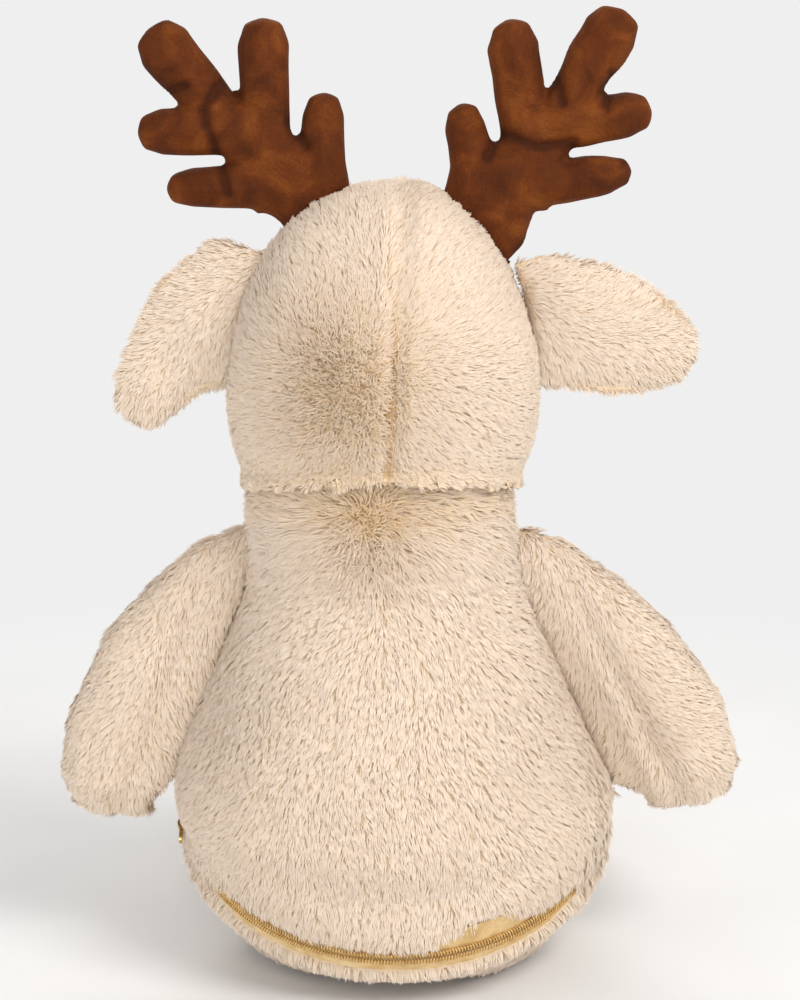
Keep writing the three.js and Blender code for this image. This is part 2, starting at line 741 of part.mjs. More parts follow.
function addEar(name, side) {
  const ear = headMount(side, earRootOut, earRootHeight, earRootLean);
  const form = {
    spine: earSpine(name, side),
    flat: back,
    stationShares: earStationShares,
    halfWidths: earHalfWidths[name],
    halfDepths: earHalfDepths,
    sides: earSides,
  };
  const whole = clearOf(solid(stuffedForm(form, 0)), headForm(-rootGap), ear.matrix, up, earTurns);
  const middle = new THREE.Vector3(0, 0, 0);
  ear.add(
    piece(`ear_${name}_back`, whole.intersect(sideOf(middle, back)), materials.fur),
    piece(`ear_${name}_lining`, whole.intersect(sideOf(middle, back.clone().negate())), materials.lining),
  );
  head.add(ear);
}

// One lobe of an antler: a capsule flattened front to back
function lobe({ from, to, root, tip }, side, inset, sides) {
  const place = ([out, rise]) => new THREE.Vector3(side * out, 0, rise).multiplyScalar(antlerReach);
  const ends = [place(from), place(to)];
  const along = ends[1].clone().sub(ends[0]).normalize();
  ends[0].addScaledVector(along, -root * antlerReach);
  const spine = new THREE.LineCurve3(...ends);
  const form = {
    spine,
    flat: back,
    stationShares: lobeStationShares,
    halfWidths: [root, tip, lobeEndShare * tip].map((share) => share * antlerReach),
    halfDepths: [1, 1, lobeEndShare].map((share) => share * antlerHalfDepth),
    sides,
  };
  return solid(stuffedForm(form, inset));
}

function antlerForm(side, inset, sides) {
  return lobeShares
    .map((shares) => lobe(shares, side, inset, sides))
    .reduce((joined, next) => joined.add(next));
}

function addAntler(name, side) {
  const antler = headMount(side, antlerBaseOuts[name], antlerBaseHeight, antlerLeans[name]);
  const hinge = new THREE.Vector3(1, 0, 0);
  const cleared = (inset, sides) => clearOf(
    antlerForm(side, inset, sides),
    headForm(-rootGap),
    antler.matrix,
    hinge,
    antlerTurns,
  );
  const cover = cleared(0, antlerSides).subtract(antlerForm(side, antlerFabric, antlerFillSides));
  const middle = new THREE.Vector3(0, 0, 0);
  antler.add(
    piece(`antler_${name}_back`, cover.intersect(sideOf(middle, back)), materials.antler),
    piece(`antler_${name}_front`, cover.intersect(sideOf(middle, back.clone().negate())), materials.antler),
    piece(`antler_${name}_stuffing`, cleared(antlerFabric + fitGap, antlerFillSides), materials.stuffing),
  );
  head.add(antler);
}

// A limb of two halves sewn together over its stuffing
function addLimb(name, frame, form, cover, cleared, seam, halves) {
  const shell = cleared(solid(stuffedForm(form, 0))).subtract(solid(stuffedForm(form, cover)));
  const middle = new THREE.Vector3(0, 0, 0);
  frame.add(
    piece(`${name}_${halves[0]}`, shell.intersect(sideOf(middle, seam)), materials.fur),
    piece(`${name}_${halves[1]}`, shell.intersect(sideOf(middle, seam.clone().negate())), materials.fur),
    piece(`${name}_stuffing`, cleared(solid(stuffedForm(form, cover + fitGap))), materials.stuffing),
  );
}

function addArm(name, side) {
  const arm = placed(
    new THREE.Group(),
    new THREE.Vector3(torsoLean + side * armShoulderOut, 0, armShoulderHeights[name]),
    new THREE.Euler(0, -side * radians(armSpreads[name]), 0),
  );
  const points = armOutShares.map((share, index) => new THREE.Vector3(
    side * share * armLength,
    0,
    -armDownShares[index] * armLength,
  ));
  const form = {
    spine: new THREE.CatmullRomCurve3(points),
    flat: back,
    stationShares: armStationShares,
    halfWidths: armHalfWidths,
    halfDepths: armHalfDepths,
    sides: armSides,
  };
  const hinge = back.clone().multiplyScalar(-side);
  const cleared = (body) => clearOf(body, torsoNeighbour, arm.matrix, hinge, armTurns);
  const hand = points.at(-1);
  const seam = new THREE.Vector3(side * -hand.z, 0, side * hand.x);
  addLimb(`arm_${name}`, arm, form, armCover, cleared, seam, ["outer", "inner"]);
  deer.add(arm);
}

function addLeg(name, side) {
  const leg = placed(
    new THREE.Group(),
    new THREE.Vector3(side * legHipOut, -legHipFront, legHipHeight),
    new THREE.Euler(0, 0, side * radians(legSplay)),
  );
  const [hip, foot] = [legRise, footRise].map((rise) => rise - legHipHeight);
  const spine = new THREE.LineCurve3(new THREE.Vector3(0, 0, hip), new THREE.Vector3(0, -legLength, foot));
  const form = {
    spine,
    flat: up,
    stationShares: legStationShares,
    halfWidths: legHalfWidths,
    halfDepths: legHalfDepths,
    sides: legSides,
  };
  const floor = sideOf(new THREE.Vector3(0, 0, -legHipHeight - seamGap / 2), up);
  const hinge = new THREE.Vector3(-1, 0, 0);
  const swept = (body) => clearOf(body, torsoNeighbour, leg.matrix, hinge, legTurns);
  const cleared = (body) => swept(body).intersect(floor);
  addLimb(`leg_${name}`, leg, form, legCover, cleared, new THREE.Vector3(side, 0, 0), ["outer", "inner"]);
  const sole = new THREE.CylinderGeometry(1, 1, soleThickness, legSides);
  sole.scale(legHalfWidths.at(-1) * soleShare, 1, legHalfDepths.at(-1) * soleShare);
  sole.translate(0, -legLength - seamGap - soleThickness / 2, foot);
  leg.add(piece(`leg_${name}_sole`, solid(sole), materials.lining));
  deer.add(leg);
}

Object.entries(sidesOfToy).forEach(([name, side]) => {
  addEar(name, side);
  addAntler(name, side);
  addArm(name, side);
  addLeg(name, side);
});

export default deer;
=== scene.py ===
# %% [markdown]
# # A seated plush deer, seen from behind
# The toy is a fur cover with a zip round its lower back, pods of stuffing, a nodding head with
# soft antlers and ears, two arms and two legs. The frame below brings the measured pieces. This
# script dresses them: it turns the plain panels into stuffed forms, plants a pile of fibres on
# them, winds the zip's coil and gives every cloth, metal and plastic its own material.

# %% Load the measured pieces
import json
import math

import bpy
import numpy as np
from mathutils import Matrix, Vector, kdtree
from mathutils.bvhtree import BVHTree


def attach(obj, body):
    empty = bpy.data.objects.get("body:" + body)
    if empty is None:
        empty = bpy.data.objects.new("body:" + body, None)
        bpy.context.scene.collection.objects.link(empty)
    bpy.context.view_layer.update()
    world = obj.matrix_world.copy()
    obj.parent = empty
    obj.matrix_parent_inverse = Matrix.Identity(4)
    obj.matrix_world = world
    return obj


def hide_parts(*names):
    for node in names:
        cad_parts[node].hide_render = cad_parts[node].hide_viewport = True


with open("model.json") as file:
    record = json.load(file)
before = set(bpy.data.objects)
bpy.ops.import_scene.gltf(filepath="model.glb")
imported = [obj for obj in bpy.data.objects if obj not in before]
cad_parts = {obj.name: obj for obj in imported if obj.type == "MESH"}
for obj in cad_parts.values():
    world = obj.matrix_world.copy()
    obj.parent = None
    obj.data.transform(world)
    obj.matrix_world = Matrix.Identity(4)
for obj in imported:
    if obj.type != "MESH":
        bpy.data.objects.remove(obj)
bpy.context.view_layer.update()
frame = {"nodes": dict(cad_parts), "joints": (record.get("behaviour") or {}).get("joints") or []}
MM = 0.001
SIDES = "left", "right"


def joint_of(body):
    """The joint that carries a body."""
    return next(j for j in frame["joints"] if j["child"] == body)


# %% [markdown]
# ## Camera
# The photograph looks at the toy's back from a little above. A long lens at more than a metre
# keeps the antlers and the base from stretching, as a product photograph does.

# %% Camera
CAMERA_RISE = math.radians(12)
CAMERA_DISTANCE = 1.25
CAMERA_AIM = Vector((-2 * MM, 0, 235 * MM))
LENS_MM = 90

away = Vector((0, math.cos(CAMERA_RISE), math.sin(CAMERA_RISE)))
camera = bpy.data.objects.new("camera", bpy.data.cameras.new("camera"))
camera.data.lens = LENS_MM
camera.data.sensor_width = 36
camera.data.clip_end = 100
camera.location = CAMERA_AIM + away * CAMERA_DISTANCE
camera.rotation_euler = away.to_track_quat("Z", "Y").to_euler()
bpy.context.scene.collection.objects.link(camera)
bpy.context.scene.camera = camera
bpy.context.scene.view_settings.view_transform = "Standard"
print("camera at", [round(c, 3) for c in camera.location])

# %% [markdown]
# ## Colours and shader nodes
# Colours are picked from cloth in sRGB, as on a paint chart. A renderer works in linear
# light, so one function converts them. One more function adds a shader node, sets its
# properties, fills each input with a number or a link, and gives a colour ramp its stops.


# %% Helpers for colours and nodes
def colour(code):
    """An sRGB hex value as linear red, green, blue and alpha."""
    shares = [int(code[i : i + 2], 16) / 255 for i in (1, 3, 5)]
    linear = [c / 12.92 if c <= 0.04045 else ((c + 0.055) / 1.055) ** 2.4 for c in shares]
    return (*linear, 1)


def add_node(tree, kind, inputs=(), stops=(), **settings):
    """Adds a node to a tree. `inputs` maps a socket to a value or to the socket that feeds it,
    and `stops` are the (place, hex colour) pairs of a colour ramp."""
    made = tree.nodes.new(kind)
    for name, value in settings.items():
        setattr(made, name, value)
    for name, value in dict(inputs).items():
        if isinstance(value, bpy.types.NodeSocket):
            tree.links.new(value, made.inputs[name])
        else:
            made.inputs[name].default_value = value
    for index, (position, code) in enumerate(stops):
        elements = made.color_ramp.elements
        if index == len(elements):
            elements.new(1)
        elements[index].position = position
        elements[index].color = colour(code)
    return made


def new_material(name):
    """An empty material and its node tree."""
    material = bpy.data.materials.new(name)
    material.use_nodes = True
    material.node_tree.nodes.clear()
    return material, material.node_tree


def finished(material, shader):
    """The material, once its shader is joined to its output."""
    add_node(material.node_tree, "ShaderNodeOutputMaterial", {"Surface": shader})
    return material


print("a mid beige in linear light:", [round(c, 3) for c in colour("#e8d3bb")[:3]])

# %% [markdown]
# ## Plush fibre
# The pile is crimped polyester staple, knitted into a backing and sheared. Each fibre is dull
# near its root, where neighbours shade it, and pale at the tip. The mesh of the fur carries
# that as an attribute named tone, from 0 at a root to 1 at a tip, and the material only has to
# colour it. Sheen stands for the soft glow at the fur's edge.


# %% Material for the fibres of the fur
def plush_fibre(name, stops):
    """Crimped polyester staple: warm and dull down in the pile, paler and matt to the tips."""
    material, tree = new_material(name)
    tone = add_node(tree, "ShaderNodeAttribute", attribute_name="tone")
    shade = add_node(tree, "ShaderNodeValToRGB", {"Fac": tone.outputs["Fac"]}, stops)
    shader = add_node(tree, "ShaderNodeBsdfPrincipled", {
        "Base Color": shade.outputs["Color"],
        "Roughness": 0.75,
        "IOR": 1.5,
        "Specular IOR Level": 0.2,
        "Sheen Weight": 0.25,
        "Sheen Roughness": 0.5,
        "Sheen Tint": colour("#fff2e2"),
    })
    return finished(material, shader.outputs["BSDF"])


BEIGE_STOPS = [(0, "#cda573"), (0.25, "#e2c7a3"), (0.5, "#e8d3bb"), (1, "#efdfce")]
CREAM_STOPS = [(0, "#e0cdb2"), (0.5, "#ede0cf"), (1, "#f5ede2")]
TAN_STOPS = [(0, "#bf9568"), (0.5, "#d9b78f"), (1, "#ebd2b2")]
beige_fibre = plush_fibre("long_pile_polyester_plush", BEIGE_STOPS)
cream_fibre = plush_fibre("short_pile_polyester_plush", CREAM_STOPS)
tan_fibre = plush_fibre("ear_lining_plush", TAN_STOPS)
print("fibres:", beige_fibre.name, cream_fibre.name, tan_fibre.name)

# %% [markdown]
# ## Knitted backing
# Under the pile lies a knit of the same colour. It shows only where the fur parts and at a cut
# edge, as a mottled ground with stubble, so noise a millimetre or two across is enough.


# %% Material for cloth that lies under the pile
def knit_backing(name, dark, light):
    """Fine polyester knit with the roots of the pile in it: matt, rough and unevenly dyed."""
    material, tree = new_material(name)
    place = add_node(tree, "ShaderNodeNewGeometry")
    stubble = add_node(tree, "ShaderNodeTexNoise", {
        "Vector": place.outputs["Position"],
        "Scale": 1 / (1.5 * MM),
        "Detail": 3,
    })
    mottle = [(0.3, dark), (0.7, light)]
    shade = add_node(tree, "ShaderNodeValToRGB", {"Fac": stubble.outputs["Fac"]}, mottle)
    relief = add_node(tree, "ShaderNodeBump", {
        "Height": stubble.outputs["Fac"],
        "Strength": 0.8,
        "Distance": 1 * MM,
    })
    shader = add_node(tree, "ShaderNodeBsdfPrincipled", {
        "Base Color": shade.outputs["Color"],
        "Normal": relief.outputs["Normal"],
        "Roughness": 0.9,
        "Specular IOR Level": 0.1,
    })
    return finished(material, shader.outputs["BSDF"])


beige_backing = knit_backing("beige_knit_backing", "#dcc2a0", "#ead6bb")
cream_backing = knit_backing("cream_knit_backing", "#d8c09c", "#e8d6bc")
BEIGE = (beige_backing, beige_fibre)
CREAM = (cream_backing, cream_fibre)
TAN = (beige_backing, tan_fibre)
print("backings:", beige_backing.name, cream_backing.name)

# %% [markdown]
# ## Stuffed forms
# A stuffed panel is a smooth, slightly lumpy surface. The measured panels are faceted shells, so
# each group of them is melted into one closed form by a voxel remesh, smoothed, and drawn in by
# about the height of the pile. Work on plain arrays of points is quick and easy to read.


# %% Meshes and plain arrays
def mesh_object(name, points, faces):
    """A new object from points and the faces between them."""
    mesh = bpy.data.meshes.new(name)
    mesh.from_pydata([tuple(p) for p in points], [], [tuple(int(i) for i in f) for f in faces])
    made = bpy.data.objects.new(name, mesh)
    bpy.context.scene.collection.objects.link(made)
    return made


def with_modifiers(source, *steps):
    """The mesh that an object has after some modifiers, each given as (kind, settings)."""
    for kind, settings in steps:
        modifier = source.modifiers.new(kind, kind)
        for name, value in settings.items():
            setattr(modifier, name, value)
    depsgraph = bpy.context.evaluated_depsgraph_get()
    mesh = bpy.data.meshes.new_from_object(source.evaluated_get(depsgraph))
    bpy.data.objects.remove(source)
    return mesh


def arrays_of(mesh):
    """A mesh's points and its four-sided faces."""
    points = np.empty(len(mesh.vertices) * 3)
    mesh.vertices.foreach_get("co", points)
    corners = np.empty(len(mesh.loops), int)
    mesh.loops.foreach_get("vertex_index", corners)
    return points.reshape(-1, 3), corners.reshape(-1, 4)


def unit(vectors):
    """Vectors brought to length one."""
    return vectors / np.maximum(np.linalg.norm(vectors, axis=1, keepdims=True), 1e-12)


def point_normals(points, faces):
    """The normal at each point of a mesh of four-sided faces."""
    a, b, c, d = (points[faces[:, i]] for i in range(4))
    across = np.cross(c - a, d - b)
    summed = np.zeros_like(points)
    for i in range(4):
        np.add.at(summed, faces[:, i], across)
    return unit(summed)


# %% [markdown]
# The remesh can leave a second skin inside a hollow, so only the largest island is kept.


# %% Melt panels into one form
def main_island(points, faces):
    """The largest connected part of a mesh."""
    label = np.arange(len(points))
    while True:
        lowest = label[faces].min(axis=1)
        new = label.copy()
        for i in range(4):
            np.minimum.at(new, faces[:, i], lowest)
        if (new == label).all():
            break
        label = new
    kinds, sizes = np.unique(label, return_counts=True)
    keep = label == kinds[sizes.argmax()]
    index = np.cumsum(keep) - 1
    return points[keep], index[faces[keep[faces[:, 0]]]]


def melted(nodes, voxel, rounds):
    """CAD nodes melted into one smooth closed form, as points and faces."""
    points, faces, start = [], [], 0
    for node in nodes:
        mesh = frame["nodes"][node].data
        points += [v.co[:] for v in mesh.vertices]
        faces += [[start + i for i in p.vertices] for p in mesh.polygons]
        start = len(points)
    mesh = with_modifiers(
        mesh_object("melting", points, faces),
        ("REMESH", {"mode": "VOXEL", "voxel_size": voxel}),
        ("SMOOTH", {"factor": 0.5, "iterations": rounds}),
    )
    return main_island(*arrays_of(mesh))


# %% [markdown]
# Nothing stuffed is perfectly even. A sum of a few plane waves in random directions is a cheap
# smooth noise: it gives the lumps of the filling, and later the way the fur wanders.


# %% Smooth noise
def wander(points, size, seed, waves=7):
    """Smooth random values from about -1 to 1 whose bumps are about `size` across."""
    chance = np.random.default_rng(seed)
    directions = unit(chance.normal(size=(waves, 3)))
    pitches = size * chance.uniform(1.2, 2.6, waves)
    phases = chance.uniform(0, 2 * np.pi, waves)
    total = sum(
        np.sin(points @ direction * (2 * np.pi / pitch) + phase)
        for direction, pitch, phase in zip(directions, pitches, phases)
    )
    return total / math.sqrt(waves)


def drawn_in(points, faces, depth):
    """A form made smaller by a depth all round."""
    return points - point_normals(points, faces) * depth


def lumpy(points, faces, height, size, seed):
    """A form with lumps of a height, about `size` across."""
    lift = wander(points, size, seed) * height
    return points + point_normals(points, faces) * lift[:, None]


# %% [markdown]
# ## Growing the pile
# The pile is real geometry, so it keeps its look from every side. Each lock is a narrow leaf
# with a ridge: three points at the root, three halfway and one at the tip, four small faces in
# all. A real pile is finer than a render can show, so a lock stands for a bunch of fibres. The
# real ones are eight to ten millimetres long, and six are drawn, since longer locks lie in
# strands. Locks gather in clumps that share a direction and draw their tips together, which
# is what makes plush look soft instead of bristly. Arrays build tens of thousands of them at
# once.


# %% Scatter roots on a surface
def scattered(points, faces, normals, spacing, chance):
    """Random places on a surface, one for each square of `spacing`, with the normal there."""
    a, b, c, d = (points[faces[:, i]] for i in range(4))
    areas = np.linalg.norm(np.cross(c - a, d - b), axis=1) / 2
    reach = np.cumsum(areas)
    count = int(reach[-1] / spacing**2)
    picks = (np.arange(count) + chance.uniform(size=count)) * reach[-1] / count
    face = np.minimum(np.searchsorted(reach, picks), len(faces) - 1)
    u, v = chance.uniform(size=(2, count, 1))
    corners = faces[face]
    weights = [(1 - u) * (1 - v), u * (1 - v), u * v, (1 - u) * v]
    places = sum(w * points[corners[:, i]] for i, w in enumerate(weights))
    ups = unit(sum(w * normals[corners[:, i]] for i, w in enumerate(weights)))
    return places, ups


def nearest(places, centres):
    """For each place, the index of the nearest centre."""
    tree = kdtree.KDTree(len(centres))
    for index, centre in enumerate(centres):
        tree.insert(centre, index)
    tree.balance()
    return np.array([tree.find(place)[1] for place in places])


# %% [markdown]
# Each lock starts with the comb's direction, laid flat on the cloth. A slow swirl, a turn shared
# by its clump and a small turn of its own make the lie of the pile. Round a pole the pile stands
# up and points anywhere, as fur does where it parts.


# %% Lay the pile
def turned(directions, ups, angles):
    """Directions turned about the surface's normals."""
    sideways = np.cross(ups, directions)
    return directions * np.cos(angles)[:, None] + sideways * np.sin(angles)[:, None]


def standing_share(places, pile):
    """How far the pile stands up at each place: 1 at its pole, and 0 away from it."""
    far = np.linalg.norm(places - np.array(pile["pole"]), axis=1)
    return np.exp(-((far / pile["pole_size"]) ** 2))


def pick_clumps(places, pile, chance):
    """The locks that lead a clump, and for each lock the clump that it belongs to."""
    share = (pile["spacing"] / pile["clump"]) ** 2
    leaders = chance.permutation(len(places))[: max(1, int(len(places) * share))]
    return leaders, nearest(places, places[leaders])


# %% [markdown]
# A lock bends once: it rises from its root, and its upper part lies flatter. Its shading normals
# lean towards the normal of the cloth, because light that enters a pile leaves it evenly, as
# from one soft surface.


# %% Shape the locks
LOCK_POINTS = 7
LOCK_QUADS = np.array([[0, 1, 4, 3], [1, 2, 5, 4]])
LOCK_TIPS = np.array([[3, 4, 6], [4, 5, 6]])
LOCK_TONES = np.array([0.2, 0.25, 0.2, 0.6, 0.7, 0.6, 1.0])
LOCK_SIDES = np.array([-1, 0, 1, -1, 0, 1, 0])
TONE_FREEDOM = np.array([0.3, 0.3, 0.3, 0.8, 0.8, 0.8, 1.0])
LOWER_SHARE = 0.45  # the bend comes a little below the middle of a lock
LOWER_RISE = 1.5  # the part below it rises more than the pile's own rise
UPPER_RISE = 0.55
ROOT_WIDENING = 1.4
ROOT_SINK = 0.6 * MM
RIDGE_SHARE = 0.3
FLOOR_GAP = 0.3 * MM
MIDDLE_GATHER = 0.35  # a clump closes less at the middle of its locks than at their tips
# Painted shade: the locks' tone is lowered where the pile stands on end, for its shaded depth.
POLE_SHADE = 0.44  # a pile that stands on end shows its dull depth
OWN_FACING = 0.2  # how much a lock's own front counts in its shading normal


def leaf(roots, halfway, tips, ups, width):
    """The seven points of each lock, and the direction across it."""
    side = unit(np.cross(unit(tips - roots), ups))
    half = side * width / 2
    ridge = ups * width * RIDGE_SHARE
    sunk = roots - ups * ROOT_SINK
    locks = np.stack([
        sunk - half * ROOT_WIDENING, sunk + ridge, sunk + half * ROOT_WIDENING,
        halfway - half, halfway + ridge, halfway + half,
        tips,
    ], axis=1)
    locks[..., 2] = np.maximum(locks[..., 2], FLOOR_GAP)
    return locks, side


def grown(places, ups, comb, pile, seed):
    """The points, tones and shading normals of the locks of a pile."""
    chance = np.random.default_rng(seed)
    count = len(places)
    flow = comb(places)
    flow = unit(flow - ups * np.sum(flow * ups, axis=1, keepdims=True))
    flow = turned(flow, ups, pile["swirl"] * wander(places, pile["swirl_size"], seed))
    standing = standing_share(places, pile)
    leaders, clump = pick_clumps(places, pile, chance)

    def varied(by_clump, by_lock):
        """Random values with a part that a clump shares and a part of each lock's own."""
        shared = chance.normal(0, by_clump, len(leaders))[clump]
        return shared + chance.normal(0, 1, count) * by_lock

    flow = turned(flow, ups, varied(pile["clump_turn"], pile["stray_turn"] + 2 * standing**2))
    lengths = pile["length"] * np.clip(1 + varied(0.1, 0.08), 0.5, 1.35)
    lengths = (lengths * pile["longer"](places))[:, None]
    rises = np.clip(pile["rise"] + varied(0.07, 0.05), 0.12, 0.8)
    low_angle = (rises * LOWER_RISE + 0.5 * standing)[:, None]
    high_angle = (rises * UPPER_RISE + 0.9 * standing)[:, None]
    lower = flow * np.cos(low_angle) + ups * np.sin(low_angle)
    upper = flow * np.cos(high_angle) + ups * np.sin(high_angle)
    halfway = places + lower * lengths * LOWER_SHARE
    tips = halfway + upper * lengths * (1 - LOWER_SHARE)
    tips += (tips[leaders][clump] - tips) * pile["gather"]
    halfway += (halfway[leaders][clump] - halfway) * pile["gather"] * MIDDLE_GATHER
    locks, side = leaf(places, halfway, tips, ups, pile["width"])
    # Tone that varies at random, minus painted shade at a pole and by the pile's darker measure.
    shade = varied(0.06, 0.05) - POLE_SHADE * standing - pile["darker"](places)
    tones = LOCK_TONES[None, :] + shade[:, None] * TONE_FREEDOM
    across = side[:, None] * LOCK_SIDES[:, None]
    front = unit(np.cross(side, unit(tips - places)))
    normals = ups[:, None] + front[:, None] * OWN_FACING + across * pile["round"]
    return locks, tones, normals


# %% [markdown]
# ## From a panel to a furry piece
# A panel is cut from its stuffed form face by face: each face goes to the measured panel that
# lies nearest. Solidify gives it the thickness of cloth, the locks are planted on it, and both
# become one mesh with two materials.


# %% Cut a panel from its form
def nearest_panels(points, faces, panels, favour=0):
    """For each face, the index of the panel that lies nearest. The first panel may be favoured."""
    centres = points[faces].mean(axis=1)
    gaps = []
    for panel in panels:
        mesh = frame["nodes"][panel].data
        tree = BVHTree.FromPolygons(
            [v.co[:] for v in mesh.vertices], [p.vertices[:] for p in mesh.polygons]
        )
        gaps.append([tree.find_nearest(centre)[3] for centre in centres])
    gaps = np.array(gaps)
    gaps[0] -= favour
    return np.argmin(gaps, axis=0)


def cloth_shell(points, faces, thickness):
    """A panel's faces as a closed sheet of cloth."""
    used, corners = np.unique(faces, return_inverse=True)
    mesh = with_modifiers(
        mesh_object("cutting", points[used], corners.reshape(-1, 4)),
        ("SOLIDIFY", {"thickness": thickness, "offset": -1}),
    )
    return arrays_of(mesh)


# %% [markdown]
# A map lays every lock and every face of cloth in its own small square, so that the finish can
# be kept as a picture for other programs.


# %% Join cloth and locks
def furry_mesh(name, cloth, locks, tones, lock_normals, backing, fibre):
    """One mesh of cloth and locks, with the tone attribute and the square map."""
    cloth_points, cloth_faces = cloth
    first = len(cloth_points)
    starts = first + LOCK_POINTS * np.arange(len(locks))[:, None, None]
    quads = (LOCK_QUADS[None] + starts).reshape(-1, 4)
    ends = (LOCK_TIPS[None] + starts).reshape(-1, 3)
    points = np.concatenate([cloth_points, locks.reshape(-1, 3)])
    corners = np.concatenate([cloth_faces.ravel(), quads.ravel(), ends.ravel()])
    sizes = np.concatenate([np.full(len(cloth_faces) + len(quads), 4), np.full(len(ends), 3)])
    mesh = bpy.data.meshes.new(name)
    mesh.vertices.add(len(points))
    mesh.vertices.foreach_set("co", points.astype(np.float32).ravel())
    mesh.loops.add(len(corners))
    mesh.loops.foreach_set("vertex_index", corners.astype(np.int32))
    mesh.polygons.add(len(sizes))
    mesh.polygons.foreach_set("loop_start", (np.cumsum(sizes) - sizes).astype(np.int32))
    mesh.materials.append(backing)
    mesh.materials.append(fibre)
    is_lock = np.arange(len(sizes)) >= len(cloth_faces)
    mesh.polygons.foreach_set("material_index", is_lock.astype(np.int32))
    mesh.polygons.foreach_set("use_smooth", np.ones(len(sizes), bool))
    mesh.update(calc_edges=True)
    tone = mesh.attributes.new("tone", "FLOAT", "POINT")
    all_tones = np.concatenate([np.zeros(first), tones.ravel()])
    tone.data.foreach_set("value", all_tones.astype(np.float32))
    square_map(mesh, len(cloth_faces), len(locks))
    cloth_normals = point_normals(cloth_points, cloth_faces)
    all_normals = np.concatenate([cloth_normals, unit(lock_normals.reshape(-1, 3))])
    mesh.normals_split_custom_set_from_vertices(all_normals.astype(np.float32))
    return mesh


def square_map(mesh, cloth_faces, locks):
    """A map with one small square for each face of cloth and for each lock."""
    side = math.ceil(math.sqrt(cloth_faces + locks))
    low, mid, high = 0.1, 0.5, 0.9
    rows = [[x, y] for y in (low, mid) for x in (low, mid, high)]
    lock_place = np.array(rows + [[mid, high]])
    face_place = np.array([[low, low], [high, low], [high, high], [low, high]])
    cells = np.arange(cloth_faces + locks)
    origins = np.stack([cells % side, cells // side], axis=1)
    cloth = origins[:cloth_faces, None] + face_place[None]
    lock_corners = origins[cloth_faces:, None, None]
    quads = lock_corners + lock_place[LOCK_QUADS][None]
    ends = lock_corners + lock_place[LOCK_TIPS][None]
    spots = np.concatenate([cloth.reshape(-1, 2), quads.reshape(-1, 2), ends.reshape(-1, 2)]) / side
    layer = mesh.uv_layers.new(name="OFBake")
    layer.data.foreach_set("uv", spots.astype(np.float32).ravel())


# %% Plant a panel
CLOTH = 1.2 * MM


def furry_piece(name, node, body, form, own, comb, pile, looks, skip=None):
    """Plants a pile on a form's own faces for a panel, as the piece that stands for its node."""
    points, faces, normals = form
    chance = np.random.default_rng(pile["seed"])
    places, ups = scattered(points, faces[own], normals, pile["spacing"], chance)
    if skip is not None:
        wanted = ~skip(places, ups)
        places, ups = places[wanted], ups[wanted]
    locks, tones, lock_normals = grown(places, ups, comb, pile, pile["seed"] + 1)
    cloth = cloth_shell(points, faces[own], CLOTH)
    mesh = furry_mesh(name, cloth, locks, tones, lock_normals, *looks)
    made = bpy.data.objects.new(name, mesh)
    bpy.context.scene.collection.objects.link(made)
    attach(made, body)
    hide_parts(node)
    print(f"{name}: {len(locks)} locks, {len(mesh.polygons)} faces")
    return made


# %% [markdown]
# The pile's measures are kept together: the size and spacing of its locks, how far they rise
# and turn, in radians, and how they clump. A panel changes only what differs on it.

# %% Measures of the pile
LONG_PILE = {
    "spacing": 0.82 * MM, "length": 6.2 * MM, "width": 0.64 * MM, "rise": 0.31,
    "clump": 2.5 * MM, "clump_turn": 0.2, "stray_turn": 0.12, "gather": 0.25,
    "swirl": 0.3, "swirl_size": 45 * MM, "round": 0.15,
    "pole": (0, 0, 0), "pole_size": 1 * MM,
    "longer": lambda places: np.ones(len(places)),
    # Painted shade: how much darker the locks are drawn at each place, none unless a panel says.
    "darker": lambda places: np.zeros(len(places)),
}
SHORT_PILE = {"spacing": 1.3 * MM, "width": 1.1 * MM}


def pile_of(seed, **changes):
    """The measures of one panel's pile, with the seed of its random values."""
    return {**LONG_PILE, **changes, "seed": seed}


print("locks to the square centimetre:", round((10 * MM / LONG_PILE["spacing"]) ** 2))

# %% [markdown]
# ## Torso
# The cover's two back panels meet in a seam down the middle, the tummy panel is in front, and
# the base panel below the zip. The stuffed form sinks a little along the seam, and near the zip
# it is brought to the level of the zip's tape, because the tape is sewn to both hems.

# %% Measures of the torso and the zip
ZIP_CENTRE = np.array(joint_of("slider")["pos_m"])
ZIP_ACROSS = np.array(joint_of("slider")["axis"])
ZIP_BACK = np.cross(ZIP_ACROSS, [1, 0, 0])
ZIP_RADIUS = 108 * MM  # from the axis of the track to the coil
ZIP_END = math.radians(92)  # the slot's turn from the middle to each end
TAPE_UNDER = 2.6 * MM
FUR_DEPTH = 5.5 * MM
HEM_CLOSES = math.radians(46), math.radians(60)  # where the hems draw together
HEM_LIFT = 1.2 * MM
HEM_OVER_TAPE = 2.4 * MM
BARE_BELOW = 8 * MM  # tape that shows below the coil
BARE_ABOVE = 6 * MM
HEM_RISE = 11 * MM  # more tape above the coil, at the satin patch
PATCH_TURN = math.radians(24)
PATCH_SPREAD = math.radians(13)
ZIP_REACH = 9 * MM, 34 * MM  # how far from the coil the form feels the zip
print("zip axis:", ZIP_CENTRE.round(3), ZIP_ACROSS.round(3))


# %% Bring the torso to the zip's tape
def smooth_step(value, low, high):
    """0 up to low, 1 from high on, and a smooth rise between them."""
    t = np.clip((value - low) / (high - low), 0, 1)
    return t * t * (3 - 2 * t)


def in_track(points):
    """Each point's turn round the zip's track, distance from its axis, and distance across it."""
    out = points - ZIP_CENTRE
    turn = np.arctan2(out[:, 0], out @ ZIP_BACK)
    radius = np.hypot(out[:, 0], out @ ZIP_BACK)
    return turn, radius, out @ ZIP_ACROSS


